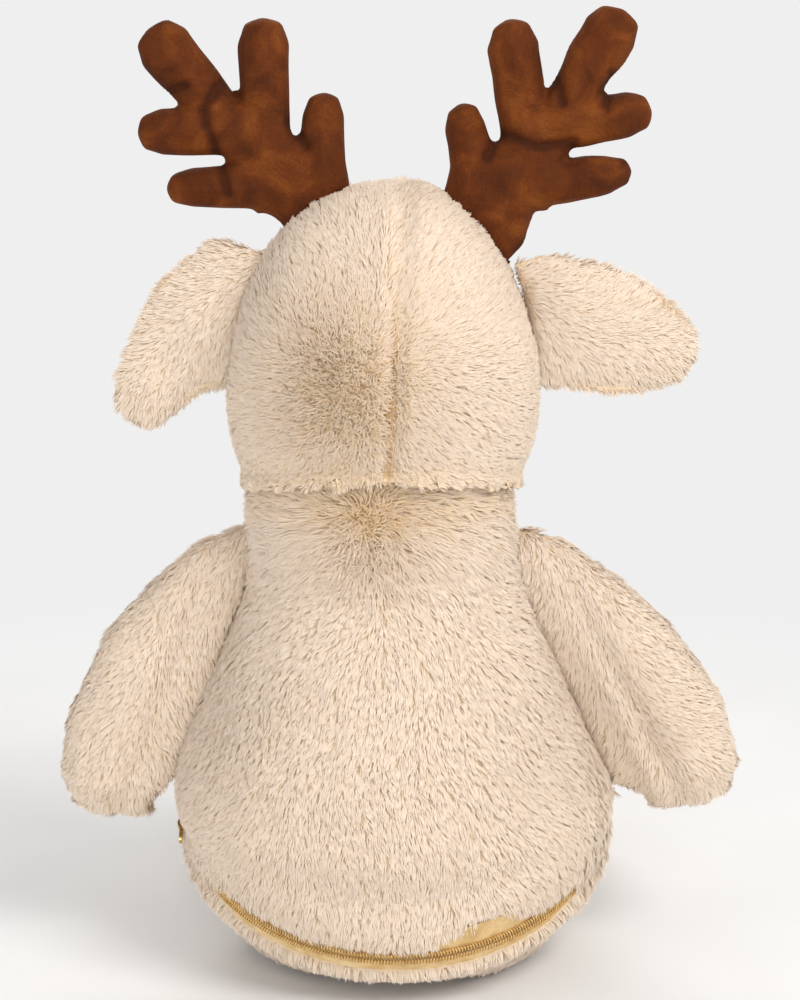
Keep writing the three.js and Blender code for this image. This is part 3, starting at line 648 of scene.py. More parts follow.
def hem_lines(points, turn):
    """How far below and above the coil the two hems lie. They wave a little, as sewn fur does."""
    # The upper hem stands higher to the right of the middle, where the satin tape shows.
    patch = np.exp(-(((turn + PATCH_TURN) / PATCH_SPREAD) ** 2))
    # Towards its ends the zip lies hidden: fur grows close to the coil on both sides.
    open_share = 1 - 0.72 * smooth_step(np.abs(turn), *HEM_CLOSES)
    wave = 2 * MM * wander(points, 15 * MM, 6)
    return BARE_BELOW * open_share, (BARE_ABOVE + wave) * open_share + HEM_RISE * patch


def levelled_at_zip(points):
    """The torso's form brought to the zip's tape: under it in the slot, and over it at the hems."""
    turn, radius, across = in_track(points)
    below, above = hem_lines(points, turn)
    on_hem = smooth_step(np.maximum(across - above, -across - below), -2 * MM, 2 * MM)
    hold = 1 - smooth_step(np.abs(across), *ZIP_REACH)
    hold *= 1 - smooth_step(np.abs(turn), ZIP_END, ZIP_END + math.radians(14))
    hold *= radius > ZIP_RADIUS * 0.6
    level = ZIP_RADIUS - TAPE_UNDER - 1 * MM + HEM_LIFT * smooth_step(np.abs(turn), *HEM_CLOSES)
    level += HEM_OVER_TAPE * on_hem
    grow = 1 + hold * (level / np.maximum(radius, 1 * MM) - 1)
    out = points - ZIP_CENTRE
    axial = np.outer(across, ZIP_ACROSS)
    return ZIP_CENTRE + axial + (out - axial) * grow[:, None]


def seam_pull(points, faces, distance, depth, width):
    """A form drawn in along a seam, where `distance` is each point's distance from it."""
    pull = depth * np.exp(-((distance / width) ** 2))
    return points - point_normals(points, faces) * pull[:, None]


# %% Stuff the torso
TORSO_PANELS = ["torso_back_left", "torso_back_right", "tummy_panel", "base_panel"]
NECK_BALL = np.array(joint_of("head")["pos_m"])
TORSO_LEAN = NECK_BALL[0] / NECK_BALL[2]  # the back seam leans with the neck
torso_points, torso_faces = melted(TORSO_PANELS + ["body_pod"], 4 * MM, 12)
torso_points = drawn_in(torso_points, torso_faces, FUR_DEPTH)
torso_points = lumpy(torso_points, torso_faces, 1.2 * MM, 40 * MM, 11)
from_seam = torso_points[:, 0] - torso_points[:, 2] * TORSO_LEAN
from_seam = np.where(torso_points[:, 1] > 0, np.abs(from_seam), 1)
torso_points = seam_pull(torso_points, torso_faces, from_seam, 0.4 * MM, 8 * MM)
torso_points = levelled_at_zip(torso_points)
torso_points[:, 2] = np.maximum(torso_points[:, 2], 2 * MM)
torso_form = torso_points, torso_faces, point_normals(torso_points, torso_faces)
print("torso form:", len(torso_faces), "faces")

# %% [markdown]
# Fur on the back is brushed outwards and down from a curly tuft at the nape. No locks grow in the
# slot of the zip. Its hems lie over the tape, and towards the ends their fringe hides the coil.


# %% Torso fur
NECK_TOP = 280 * MM
NAPE = np.array([12, 66, 228]) * MM


def brushed_from(pole, droop):
    """A comb that lays the fur outwards from one spot, with some weight that pulls it down."""
    return lambda points: unit(points - pole) - np.array([0, 0, droop])


def fringe(places):
    """Longer locks at the neck and by the two ends of the zip, which they hide."""
    turn, _, across = in_track(places)
    by_zip = np.exp(-((across / (12 * MM)) ** 2)) * smooth_step(np.abs(turn), *HEM_CLOSES)
    by_neck = smooth_step(places[:, 2], 195 * MM, 220 * MM)
    return 1 + 0.6 * by_zip + 0.8 * by_neck


def neck_crease_painted_shade(places):
    """Painted shade: the fur drawn darker in the crease where the head rests on it."""
    return 0.35 * smooth_step(places[:, 2], 226 * MM, 240 * MM)


def on_torso(seed, **changes):
    """The pile of a torso panel."""
    return pile_of(seed, pole=NAPE, pole_size=25 * MM, longer=fringe, darker=neck_crease_painted_shade,
                   **changes)


def hidden_on_torso(points, ups):
    """Where no lock grows: in the zip's slot, inside the head and right under the seat."""
    turn, _, across = in_track(points)
    below, above = hem_lines(points, turn)
    in_slot = (across > -below) & (across < above) & (np.abs(turn) < ZIP_END)
    return in_slot | (points[:, 2] > NECK_TOP) | (points[:, 2] < 4 * MM)


torso_choice = nearest_panels(torso_points, torso_faces, TORSO_PANELS)
TORSO_PILES = [
    ("back_panel_left", "fur", on_torso(21), BEIGE),
    ("back_panel_right", "fur", on_torso(22), BEIGE),
    ("tummy_panel_fur", "short_fur", on_torso(23, **SHORT_PILE), CREAM),
    ("base_panel_fur", "fur", on_torso(24), BEIGE),
]
for index, (name, slot, kind, looks) in enumerate(TORSO_PILES):
    furry_piece(name, TORSO_PANELS[index], "torso", torso_form, torso_choice == index,
                brushed_from(NAPE, 0.4), kind, looks, hidden_on_torso)

# %% [markdown]
# ## Head
# The head is a rounded egg that sits down over the neck. Its back seam is drawn in to a groove,
# and the fur is brushed outwards from a spot to the left of it, where the pile stands up and
# painted shade darkens it.

# %% Stuff the head
HEAD_PANELS = ["head_back_left", "head_back_right", "face_panel"]
HEAD_SEAM_LEAN = 0.047
HEAD_SEAM_FOOT = np.array([5, 0, 245]) * MM
NECK_BALL_RADIUS = 75 * MM
head_points, head_faces = melted(HEAD_PANELS + ["head_pod"], 3.5 * MM, 10)


def from_head_seam(points):
    """Each point's distance from the seam that runs down the back of the head."""
    out = points - HEAD_SEAM_FOOT
    across = out[:, 0] + out[:, 2] * HEAD_SEAM_LEAN
    return np.where(points[:, 1] > 0, np.abs(across), 1)


def facing_neck(points, faces):
    """1 where the form faces the middle of the neck's ball, and -1 where it turns away."""
    return np.sum(unit(NECK_BALL - points) * point_normals(points, faces), axis=1)


def over_the_neck(points, faces, depth, wall):
    """The head drawn in on its outside only. Its socket's wall stays just over the neck's ball."""
    share = 1 - smooth_step(facing_neck(points, faces), 0, 0.7)
    out = points - point_normals(points, faces) * (depth * share)[:, None] - NECK_BALL
    distance = np.linalg.norm(out, axis=1)
    socket, skin = NECK_BALL_RADIUS + 0.5 * MM, NECK_BALL_RADIUS + 2.6 * MM
    reach = np.where(wall, socket, np.maximum(distance, skin))
    return NECK_BALL + out * (reach / distance)[:, None]


head_wall = facing_neck(head_points, head_faces) > 0.35
head_wall &= np.linalg.norm(head_points - NECK_BALL, axis=1) < NECK_BALL_RADIUS + 6 * MM
head_points = lumpy(head_points, head_faces, 1.2 * MM, 35 * MM, 12)
from_seam = np.where(head_wall, 1, from_head_seam(head_points))
head_points = seam_pull(head_points, head_faces, from_seam, 3.5 * MM, 3 * MM)
head_points = over_the_neck(head_points, head_faces, FUR_DEPTH, head_wall)
head_form = head_points, head_faces, point_normals(head_points, head_faces)
print("head form:", len(head_faces), "faces, with", head_wall.sum(), "points in its socket's wall")

# %% [markdown]
# The locks at the lower rim are short, and painted shade darkens them where the head lies on
# the neck. In the groove of the back seam the pile dips in, and painted shade darkens it too.

# %% Head fur
CROWN_POLE = np.array([28, 70, 299]) * MM
BRIDGE = np.array([7, -120, 285]) * MM
head_comb = brushed_from(CROWN_POLE, 0.05)


def short_at_rim(places):
    """Locks at the head's lower rim are sheared short, so that it doesn't flare over the neck."""
    above = np.linalg.norm(places - NECK_BALL, axis=1) - NECK_BALL_RADIUS
    return 0.6 + 0.4 * smooth_step(above, 3 * MM, 14 * MM)


def rim_and_seam_painted_shade(places):
    """Painted shade: the fur drawn darker at the lower rim and in the groove of the back seam."""
    above = np.linalg.norm(places - NECK_BALL, axis=1) - NECK_BALL_RADIUS
    by_rim = 1 - smooth_step(above, 3 * MM, 8 * MM)
    by_seam = np.exp(-((from_head_seam(places) / (2 * MM)) ** 2))
    to_crown = smooth_step(places[:, 2], 300 * MM, 350 * MM)
    return 0.15 * by_rim + 0.55 * by_seam * (1 - 0.7 * to_crown)


def on_head(seed):
    """The pile of the head's back panels."""
    return pile_of(seed, pole=CROWN_POLE, pole_size=46 * MM, longer=short_at_rim,
                   darker=rim_and_seam_painted_shade)


def face_comb(points):
    """The fur of face and muzzle lies outwards from a spot before the bridge of the nose."""
    return points - BRIDGE


def inside_socket(points, ups):
    """Where the head's form is the wall of its socket, on which nothing grows."""
    inward = NECK_BALL - points
    distance = np.linalg.norm(inward, axis=1)
    return (distance < NECK_BALL_RADIUS + 4 * MM) & (np.sum(inward * ups, axis=1) > 0.75 * distance)


head_choice = nearest_panels(head_points, head_faces, HEAD_PANELS)
HEAD_PILES = [
    ("head_panel_left", "fur", on_head(31), BEIGE, head_comb),
    ("head_panel_right", "fur", on_head(32), BEIGE, head_comb),
    ("face_panel_fur", "short_fur", pile_of(33, **SHORT_PILE), CREAM, face_comb),
]
for index, (name, slot, kind, looks, comb) in enumerate(HEAD_PILES):
    furry_piece(name, HEAD_PANELS[index], "head", head_form, head_choice == index,
                comb, kind, looks, inside_socket)

# %% [markdown]
# ## Muzzle
# The muzzle is a small cushion of the short cream plush, sewn onto the face.

# %% Muzzle
muzzle_points, muzzle_faces = melted(["muzzle"], 2.5 * MM, 6)
muzzle_points = drawn_in(muzzle_points, muzzle_faces, 3.5 * MM)
muzzle_form = muzzle_points, muzzle_faces, point_normals(muzzle_points, muzzle_faces)
MUZZLE_PILE = pile_of(34, spacing=1.2 * MM, length=5.5 * MM, width=1 * MM)
furry_piece("muzzle_fur", "muzzle", "head", muzzle_form, slice(None), face_comb,
            MUZZLE_PILE, CREAM)

# %% [markdown]
# ## Limbs
# Arms, legs and ears are flat bags of two panels, sewn face to face along a seam and turned.
# The seam pulls in, and the fur runs from root to tip and parts away from the seam.


# %% Limbs
LIMB_SPREAD = 30 * MM  # how soon the fur turns outwards from the middle line of a limb


def drawn_to(points, tree, reach):
    """Points that lie within reach of another form, drawn over to it: a root meets its seam."""
    touches, gaps = [], []
    for place in points:
        touch, _, _, gap = tree.find_nearest(place)
        touches.append(touch[:])
        gaps.append(gap)
    share = 1 - smooth_step(np.array(gaps), 0.5 * reach, reach)
    return points + (np.array(touches) - points) * share[:, None]


def limb(body, panels, stuffing, carrier, kinds, voxel, depth, seed, pull, favour=0):
    """A two-panelled limb: its form, a seam drawn in where its panels meet, and its fur."""
    points, faces = melted(panels + stuffing, voxel, 8)
    points = drawn_in(points, faces, depth)
    points = lumpy(points, faces, 0.8 * MM, 30 * MM, seed)
    points = drawn_to(points, carrier, 18 * MM)
    choice = nearest_panels(points, faces, panels, favour)
    edge = np.intersect1d(np.unique(faces[choice == 0]), np.unique(faces[choice == 1]))
    tree = kdtree.KDTree(len(edge))
    for index, place in enumerate(points[edge]):
        tree.insert(place, index)
    tree.balance()
    near = np.array([tree.find(place)[2] for place in points])
    points = seam_pull(points, faces, near, pull, 5 * MM)
    form = points, faces, point_normals(points, faces)
    root = np.array(joint_of(body)["pos_m"])
    middle = points.mean(axis=0)
    along = (middle - root) / np.linalg.norm(middle - root)

    def comb(places):
        """From root to tip, and outwards from the middle line."""
        reach = (places - root) @ along
        aside = places - root - reach[:, None] * along
        return 0.8 * along + aside / LIMB_SPREAD

    for index, (name, slot, kind, looks) in enumerate(kinds):
        furry_piece(name, panels[index], body, form, choice == index, comb, kind, looks)


# %% Arms, ears and legs
ARM_PILE = {"spacing": 0.9 * MM, "rise": 0.28}
EAR_PILE = {"rise": 0.26}
LINING_PILE = {"spacing": 1 * MM, "length": 5.5 * MM, "width": 0.8 * MM}
LEG_PILE = {"spacing": 1.2 * MM, "width": 1 * MM}


def two_panels(kind, side, seed):
    """The panels of an arm or leg and how each is covered."""
    panels = [f"{kind}_{side}_outer", f"{kind}_{side}_inner"]
    changes = ARM_PILE if kind == "arm" else LEG_PILE
    kinds = [
        (f"{panel}_fur", "fur", pile_of(seed + 2 * row, **changes), BEIGE)
        for row, panel in enumerate(panels)
    ]
    return f"{kind}_{side}", panels, [f"{kind}_{side}_stuffing"], torso_tree, kinds


torso_tree = BVHTree.FromPolygons(torso_points.tolist(), torso_faces.tolist())
head_tree = BVHTree.FromPolygons(head_points.tolist(), head_faces.tolist())
for index, side in enumerate(SIDES):
    limb(*two_panels("arm", side, 43 + index),
         voxel=3 * MM, depth=5 * MM, seed=41 + index, pull=2.5 * MM)
    # The back layer is favoured, so that the darker lining doesn't roll over the ear's edge.
    limb(f"ear_{side}", [f"ear_{side}_back", f"ear_{side}_lining"], [], head_tree, [
        (f"ear_{side}_back_fur", "fur", pile_of(53 + index, **EAR_PILE), BEIGE),
        (f"ear_{side}_lining_fur", "lining", pile_of(55 + index, **LINING_PILE), TAN),
    ], voxel=2.2 * MM, depth=3.5 * MM, seed=51 + index, pull=0.5 * MM, favour=4 * MM)
    limb(*two_panels("leg", side, 63 + index),
         voxel=3.5 * MM, depth=5 * MM, seed=61 + index, pull=1.5 * MM)

# %% [markdown]
# ## Velour of the antlers
# The antlers, nose and soles are velour: a pile under two millimetres, brushed one way. It is
# too short to see as fibres. It shows as patches that turn light or dark with the lie of the
# nap, a pale rim of sheen, and a fine grain.


# %% Material for short nap cloth
def velour(name, dark, middle, light, sheen):
    """Short sheared polyester nap: deep and matt, with patches where it lies another way."""
    material, tree = new_material(name)
    place = add_node(tree, "ShaderNodeNewGeometry")
    lie = add_node(tree, "ShaderNodeTexNoise", {
        "Vector": place.outputs["Position"],
        "Scale": 1 / (22 * MM),
        "Detail": 4,
        "Roughness": 0.6,
        "Distortion": 0.6,
    })
    grain = add_node(tree, "ShaderNodeTexNoise", {
        "Vector": place.outputs["Position"],
        "Scale": 1 / (0.9 * MM),
        "Detail": 2,
    })
    both = add_node(tree, "ShaderNodeMath", {
        0: grain.outputs["Fac"], 1: 0.25, 2: lie.outputs["Fac"],
    }, operation="MULTIPLY_ADD")
    # Painted shade: down in a fold the velour is drawn darker, where shade falls.
    fold = add_node(tree, "ShaderNodeAttribute", attribute_name="fold")
    shaded = add_node(tree, "ShaderNodeMath", {
        0: fold.outputs["Fac"], 1: -0.3, 2: both.outputs["Value"],
    }, operation="MULTIPLY_ADD")
    nap = [(0.4, dark), (0.63, middle), (0.88, light)]
    shade = add_node(tree, "ShaderNodeValToRGB", {"Fac": shaded.outputs["Value"]}, nap)
    relief = add_node(tree, "ShaderNodeBump", {
        "Height": grain.outputs["Fac"],
        "Strength": 0.5,
        "Distance": 0.5 * MM,
    })
    shader = add_node(tree, "ShaderNodeBsdfPrincipled", {
        "Base Color": shade.outputs["Color"],
        "Normal": relief.outputs["Normal"],
        "Roughness": 0.8,
        "Specular IOR Level": 0.15,
        "Sheen Weight": sheen,
        "Sheen Roughness": 0.4,
        "Sheen Tint": colour(light),
    })
    return finished(material, shader.outputs["BSDF"])


chestnut_velour = velour("chestnut_velour", "#401c07", "#5e2c0b", "#7e4416", 0.06)
nose_velour = velour("dark_brown_velour", "#2f150b", "#472415", "#643a26", 0.4)
sole_velour = velour("tan_velour", "#bb9870", "#cfae88", "#e2c8a8", 0.3)
print("velours:", chestnut_velour.name, nose_velour.name, sole_velour.name)


# %% Dress a node without pile
def plain_piece(name, nodes, body, slot, material, points, faces, fill=0.9):
    """A closed form without pile, as the piece that stands for its nodes."""
    made = mesh_object(name, points, faces)
    made.data.materials.append(material)
    made.data.polygons.foreach_set("use_smooth", np.full(len(made.data.polygons), True))
    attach(made, body)
    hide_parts(*nodes)
    print(f"{name}: {len(faces)} faces")
    return made


# %% [markdown]
# ## Antlers
# Each antler is cut as a flat outline in velour, front and back, and stuffed, so every tine is a
# small round cushion. The cloth gathers in the forks between them, and folds run from there over
# the palm. They are drawn as lines in the antler's plane, as places across and above the floor.


# %% Folds of the antlers
FOLD_SINK = 2.2 * MM
FOLD_HALF_WIDTH = 2.4 * MM
FOLDS = {
    "left": [
        [(82, 444), (93, 428), (86, 406), (81, 388)],
        [(51, 422), (43, 411)],
        [(109, 437), (101, 440)],
    ],
    "right": [
        [(-86, 413), (-68, 411), (-50, 418), (-44, 406)],
        [(-76, 446), (-80, 432)],
        [(-104, 445), (-101, 430)],
    ],
}


def from_line(places, line):
    """Each flat place's distance from a line of straight pieces."""
    nearest_so_far = np.full(len(places), 1.0)
    for start, end in zip(line, line[1:]):
        ahead = end - start
        share = np.clip((places - start) @ ahead / (ahead @ ahead), 0, 1)
        gap = np.linalg.norm(places - start - share[:, None] * ahead, axis=1)
        nearest_so_far = np.minimum(nearest_so_far, gap)
    return nearest_so_far


def in_fold(points, side):
    """How deep each point lies in a fold of an antler, from 0 to 1."""
    gaps = [from_line(points[:, [0, 2]], np.array(line) * MM) for line in FOLDS[side]]
    return np.exp(-((np.min(gaps, axis=0) / FOLD_HALF_WIDTH) ** 2))


# %% Antlers
def antler(side, seed):
    """One stuffed antler, with its seam, its folds and a piece for each half."""
    body = f"antler_{side}"
    parts = [f"{body}_back", f"{body}_front", f"{body}_stuffing"]
    points, faces = melted(parts, 1.4 * MM, 8)
    points = lumpy(points, faces, 0.5 * MM, 14 * MM, seed)
    points = drawn_to(points, head_tree, 14 * MM)
    plane = joint_of(body)["pos_m"][1]
    points = seam_pull(points, faces, points[:, 1] - plane, 0.8 * MM, 1.5 * MM)
    normals = point_normals(points, faces)
    # Only the broad faces fold, and the outline stays as it was cut.
    sink = FOLD_SINK * in_fold(points, side) * np.abs(normals[:, 1])
    points = points - normals * sink[:, None]
    choice = nearest_panels(points, faces, parts[:2])
    for index, face in enumerate(("back", "front")):
        cloth = cloth_shell(points, faces[choice == index], 1 * MM)
        made = plain_piece(f"{body}_{face}_velour", [parts[index]], body, "antler_fabric",
                           chestnut_velour, *cloth)
        # Painted shade: the fold attribute darkens the velour down in each fold.
        fold = made.data.attributes.new("fold", "FLOAT", "POINT")
        fold.data.foreach_set("value", in_fold(cloth[0], side).astype(np.float32))


for index, side in enumerate(SIDES):
    antler(side, 71 + index)

# %% [markdown]
# ## Pods of stuffing
# Inside lie bags of thin white cloth, filled with fibre. They hardly ever show, but a cover that
# is opened or bent gives a glimpse, so they are soft and slightly creased too.


# %% Pods and stuffing
def bag_cloth():
    """Thin spun-bonded polyester: white, matt and creased like paper, with painted shade in its
    creases.
    """
    material, tree = new_material("white_polyester_bag_cloth")
    place = add_node(tree, "ShaderNodeNewGeometry")
    creases_and_shade = add_node(tree, "ShaderNodeTexNoise", {
        "Vector": place.outputs["Position"],
        "Scale": 1 / (18 * MM),
        "Detail": 5,
        "Distortion": 1.2,
    })
    # Painted shade: the noise that raises the creases also greys the cloth where it lies low.
    white = [(0.3, "#e4e1da"), (0.7, "#f6f4ef")]
    shade = add_node(tree, "ShaderNodeValToRGB", {"Fac": creases_and_shade.outputs["Fac"]}, white)
    relief = add_node(tree, "ShaderNodeBump", {
        "Height": creases_and_shade.outputs["Fac"], "Strength": 0.6, "Distance": 2 * MM,
    })
    shader = add_node(tree, "ShaderNodeBsdfPrincipled", {
        "Base Color": shade.outputs["Color"],
        "Normal": relief.outputs["Normal"],
        "Roughness": 0.85,
    })
    return finished(material, shader.outputs["BSDF"])


bag_material = bag_cloth()


def pod(node, body, voxel, seed, slack):
    """A bag of stuffing, with some slack under its cover."""
    points, faces = melted([node], voxel, 6)
    points = drawn_in(points, faces, slack)
    points = lumpy(points, faces, 0.4 * MM, 25 * MM, seed)
    plain_piece(f"{node}_bag", [node], body, "stuffing", bag_material, points, faces,
                fill=0.7)


pod("body_pod", "torso", 5 * MM, 81, 7.5 * MM)
pod("head_pod", "head", 4.5 * MM, 82, 3.5 * MM)
for side in SIDES:
    pod(f"arm_{side}_stuffing", f"arm_{side}", 3.5 * MM, 83, 2 * MM)
    pod(f"leg_{side}_stuffing", f"leg_{side}", 4 * MM, 84, 2 * MM)
    pod(f"antler_{side}_stuffing", f"antler_{side}", 2 * MM, 85, 1 * MM)

# %% [markdown]
# ## Soles and nose
# Two ovals of tan velour close the feet, and the nose is a small stuffed oval of dark velour.

# %% Soles and nose
for side in SIDES:
    points, faces = melted([f"leg_{side}_sole"], 1.5 * MM, 6)
    plain_piece(f"leg_{side}_sole_pad", [f"leg_{side}_sole"], f"leg_{side}", "lining",
                sole_velour, points, faces)
points, faces = melted(["nose"], 1 * MM, 8)
plain_piece("nose_cushion", ["nose"], "head", "nose_fabric", nose_velour, points, faces)

# %% [markdown]
# ## The zip
# A nylon zip is two tapes, each with a coil of thick thread sewn along its edge. The coil is a
# flattened helix with a loop every millimetre and a half, and the loops of one side lock between
# those of the other. This is the finest part of the toy, so every loop is wound.


# %% Measures of the coil
WIRE = 0.42 * MM  # radius of the thread
LOOP_PITCH = 1.5 * MM
LOOP_HALF_WIDTH = 1.35 * MM
LOOP_HALF_HEIGHT = 0.7 * MM
ROW_CENTRE = 2.05 * MM  # from the middle of the zip to the middle of a row
COIL_FOOT = 1.8 * MM  # the coil's underside lies this far below the track's radius
COIL_END = math.radians(85.3)
LOOPS = round(2 * COIL_END * ZIP_RADIUS / LOOP_PITCH)
STEPS_PER_LOOP = 12
WIRE_SIDES = 6
print("loops in a row:", LOOPS)


# %% Wind the coil


def on_track(turn, radius, across):
    """Points at a turn round the zip's track, a distance from its axis and one across it."""
    spoke = np.outer(np.sin(turn), [1, 0, 0]) + np.outer(np.cos(turn), ZIP_BACK)
    return ZIP_CENTRE + spoke * np.asarray(radius)[:, None] + np.outer(across, ZIP_ACROSS)


def tube(path, radius, sides):
    """A closed tube of round section along a path."""
    ahead = unit(np.gradient(path, axis=0))
    first = unit(np.cross(ahead, ZIP_ACROSS[None] + 0.3))
    second = np.cross(ahead, first)
    angles = np.arange(sides) * 2 * np.pi / sides
    rings = path[:, None] + radius * (
        first[:, None] * np.cos(angles)[:, None] + second[:, None] * np.sin(angles)[:, None]
    )
    faces = []
    for start in range(0, (len(path) - 1) * sides, sides):
        for i in range(sides):
            j = (i + 1) % sides
            faces.append((start + i, start + j, start + sides + j, start + sides + i))
    last = (len(path) - 1) * sides
    faces.append(tuple(range(sides))[::-1])
    faces.append(tuple(range(last, last + sides)))
    return rings.reshape(-1, 3), faces


def coil_row(side, offset):
    """One row of loops on its side of the zip, begun a share of a loop late."""
    phase = np.linspace(0, LOOPS, LOOPS * STEPS_PER_LOOP + 1)
    turn = COIL_END * (2 * phase / LOOPS - 1)
    swing = 2 * np.pi * (phase + offset)
    middle = ZIP_RADIUS - COIL_FOOT + LOOP_HALF_HEIGHT + WIRE
    radius = middle + LOOP_HALF_HEIGHT * np.sin(swing)
    across = side * (ROW_CENTRE - LOOP_HALF_WIDTH * np.cos(swing))
    return tube(on_track(turn, radius, across), WIRE, WIRE_SIDES)


def drawn_nylon():
    """Dyed nylon thread with a waxy shine, its tone a little uneven from place to place."""
    material, tree = new_material("gold_nylon_coil")
    place = add_node(tree, "ShaderNodeNewGeometry")
    dye = add_node(tree, "ShaderNodeTexNoise", {
        "Vector": place.outputs["Position"], "Scale": 1 / (3 * MM), "Detail": 2,
    })
    gold = [(0.3, "#c4964a"), (0.7, "#ecc988")]
    shade = add_node(tree, "ShaderNodeValToRGB", {"Fac": dye.outputs["Fac"]}, gold)
    shader = add_node(tree, "ShaderNodeBsdfPrincipled", {
        "Base Color": shade.outputs["Color"],
        "Roughness": 0.35,
        "IOR": 1.53,
    })
    return finished(material, shader.outputs["BSDF"])


coil_nylon = drawn_nylon()
for row, (name, side) in enumerate({"upper": 1, "lower": -1}.items()):
    points, faces = coil_row(side, row / 2)
    plain_piece(f"zip_coil_{name}_loops", [f"zip_coil_{name}"], "torso", "zip_coil",
                coil_nylon, points, faces, fill=None)

# %% [markdown]
# The tape is a satin weave of gold yarn. Its ribs run along it, about two to the millimetre,
# and the floats of the weave give it a long soft highlight. The slider, its tab and the stops
# are cast zinc with a plating of brass.


# %% Tape and metal of the zip
RIB_PITCH = 1.31 * MM  # wider than the yarn's own half millimetre, so that the ribs show
RIB_SCALE = math.pi / 10 / RIB_PITCH  # a wave texture draws ten waves over pi units


def satin_tape():
    """Woven polyester satin: a silky gold with fine ribs and cloudy patches of wear."""
    material, tree = new_material("gold_satin_tape")
    place = add_node(tree, "ShaderNodeNewGeometry")
    ribs = add_node(tree, "ShaderNodeTexWave", {
        "Vector": place.outputs["Position"], "Scale": RIB_SCALE, "Distortion": 0.4, "Detail": 1,
    }, bands_direction="Z")
    cloudy = add_node(tree, "ShaderNodeTexNoise", {
        "Vector": place.outputs["Position"], "Scale": 1 / (9 * MM), "Detail": 3,
    })
    mix = add_node(tree, "ShaderNodeMath", {
        0: ribs.outputs["Fac"], 1: 0.12, 2: cloudy.outputs["Fac"],
    }, operation="MULTIPLY_ADD")
    gold = [(0.35, "#c8a162"), (0.6, "#dfc08a"), (0.85, "#eed7a8")]
    shade = add_node(tree, "ShaderNodeValToRGB", {"Fac": mix.outputs["Value"]}, gold)
    relief = add_node(tree, "ShaderNodeBump", {
        "Height": ribs.outputs["Fac"], "Strength": 0.3, "Distance": 0.2 * MM,
    })
    shader = add_node(tree, "ShaderNodeBsdfPrincipled", {
        "Base Color": shade.outputs["Color"],
        "Normal": relief.outputs["Normal"],
        "Roughness": 0.42,
        "Sheen Weight": 0.3,
        "Sheen Roughness": 0.3,
    })
    return finished(material, shader.outputs["BSDF"])


def plated_brass():
    """Brass-plated zinc, tumbled until its edges are soft: bright, with a brushed haze."""
    material, tree = new_material("brass_plated_zinc")
    place = add_node(tree, "ShaderNodeNewGeometry")
    haze = add_node(tree, "ShaderNodeTexNoise", {
        "Vector": place.outputs["Position"], "Scale": 1 / (0.8 * MM), "Detail": 3,
    })
    rough = add_node(tree, "ShaderNodeMapRange", {
        "Value": haze.outputs["Fac"], "To Min": 0.2, "To Max": 0.38,
    })
    brass = [(0.3, "#c09a4c"), (0.7, "#d9b76c")]
    shade = add_node(tree, "ShaderNodeValToRGB", {"Fac": haze.outputs["Fac"]}, brass)
    shader = add_node(tree, "ShaderNodeBsdfPrincipled", {
        "Base Color": shade.outputs["Color"],
        "Metallic": 1,
        "Roughness": rough.outputs["Result"],
    })
    return finished(material, shader.outputs["BSDF"])


def finish_nodes(names, material):
    """Gives nodes of the frame, which keep their shape, a better material."""
    for name in names:
        mesh = frame["nodes"][name].data
        mesh.materials.clear()
        mesh.materials.append(material)
    print(material.name, "on", ", ".join(names))


finish_nodes(["zip_tape_upper", "zip_tape_lower"], satin_tape())
finish_nodes(["zip_slider", "zip_pull", "zip_end_stop", "zip_top_stop_upper",
              "zip_top_stop_lower"], plated_brass())

# %% [markdown]
# ## Eyes
# Safety eyes are black moulded plastic domes with a stem. A washer behind the cloth locks each
# one. The measured dome has flat facets, so it is melted into a smooth one like the soft forms,
# and a clear gloss gives it its life.


# %% Eyes
def moulded_plastic(name, dark, light, roughness):
    """Moulded plastic, glossy or dull with its mould, and very slightly uneven in depth."""
    material, tree = new_material(name)
    place = add_node(tree, "ShaderNodeNewGeometry")
    depth = add_node(tree, "ShaderNodeTexNoise", {
        "Vector": place.outputs["Position"], "Scale": 1 / (6 * MM), "Detail": 2,
    })
    cloud = [(0.3, dark), (0.7, light)]
    shade = add_node(tree, "ShaderNodeValToRGB", {"Fac": depth.outputs["Fac"]}, cloud)
    shader = add_node(tree, "ShaderNodeBsdfPrincipled", {
        "Base Color": shade.outputs["Color"],
        "Roughness": roughness,
        "IOR": 1.49,
    })
    return finished(material, shader.outputs["BSDF"])


eye_plastic = moulded_plastic("black_acrylic_eye", "#0d0907", "#1c120c", 0.06)
finish_nodes(["eye_washer_left", "eye_washer_right"],
             moulded_plastic("white_polypropylene_washer", "#e3e0d8", "#efede6", 0.45))
for side in SIDES:
    mesh = frame["nodes"][f"eye_{side}"].data
    plain = mesh_object("eye", [v.co[:] for v in mesh.vertices],
                        [p.vertices[:] for p in mesh.polygons])
    mesh = with_modifiers(plain, ("REMESH", {"mode": "VOXEL", "voxel_size": 0.6 * MM}),
                          ("SMOOTH", {"factor": 0.5, "iterations": 8}))
    plain_piece(f"eye_{side}_dome", [f"eye_{side}"], "head", "eye_plastic", eye_plastic,
                *main_island(*arrays_of(mesh)), fill=None)

# %% [markdown]
# ## Floor, backdrop and light
# A wide pale floor and a world of the same pale grey give the plain ground of a product
# photograph. Only rays that see them directly meet that grey, so it puts no more light on the
# toy, and the floor near the toy stays paper that takes its shadow.


# %% Floor
BACKDROP = "#efefef"


def seen_directly(tree):
    """1 for rays from the camera, a mirror or a glass, and 0 for rays that light the toy."""
    path = add_node(tree, "ShaderNodeLightPath")
    total = path.outputs["Is Camera Ray"]
    for kind in ("Is Glossy Ray", "Is Transmission Ray"):
        total = add_node(tree, "ShaderNodeMath", {0: total, 1: path.outputs[kind]},
                         operation="ADD", use_clamp=True).outputs["Value"]
    return total


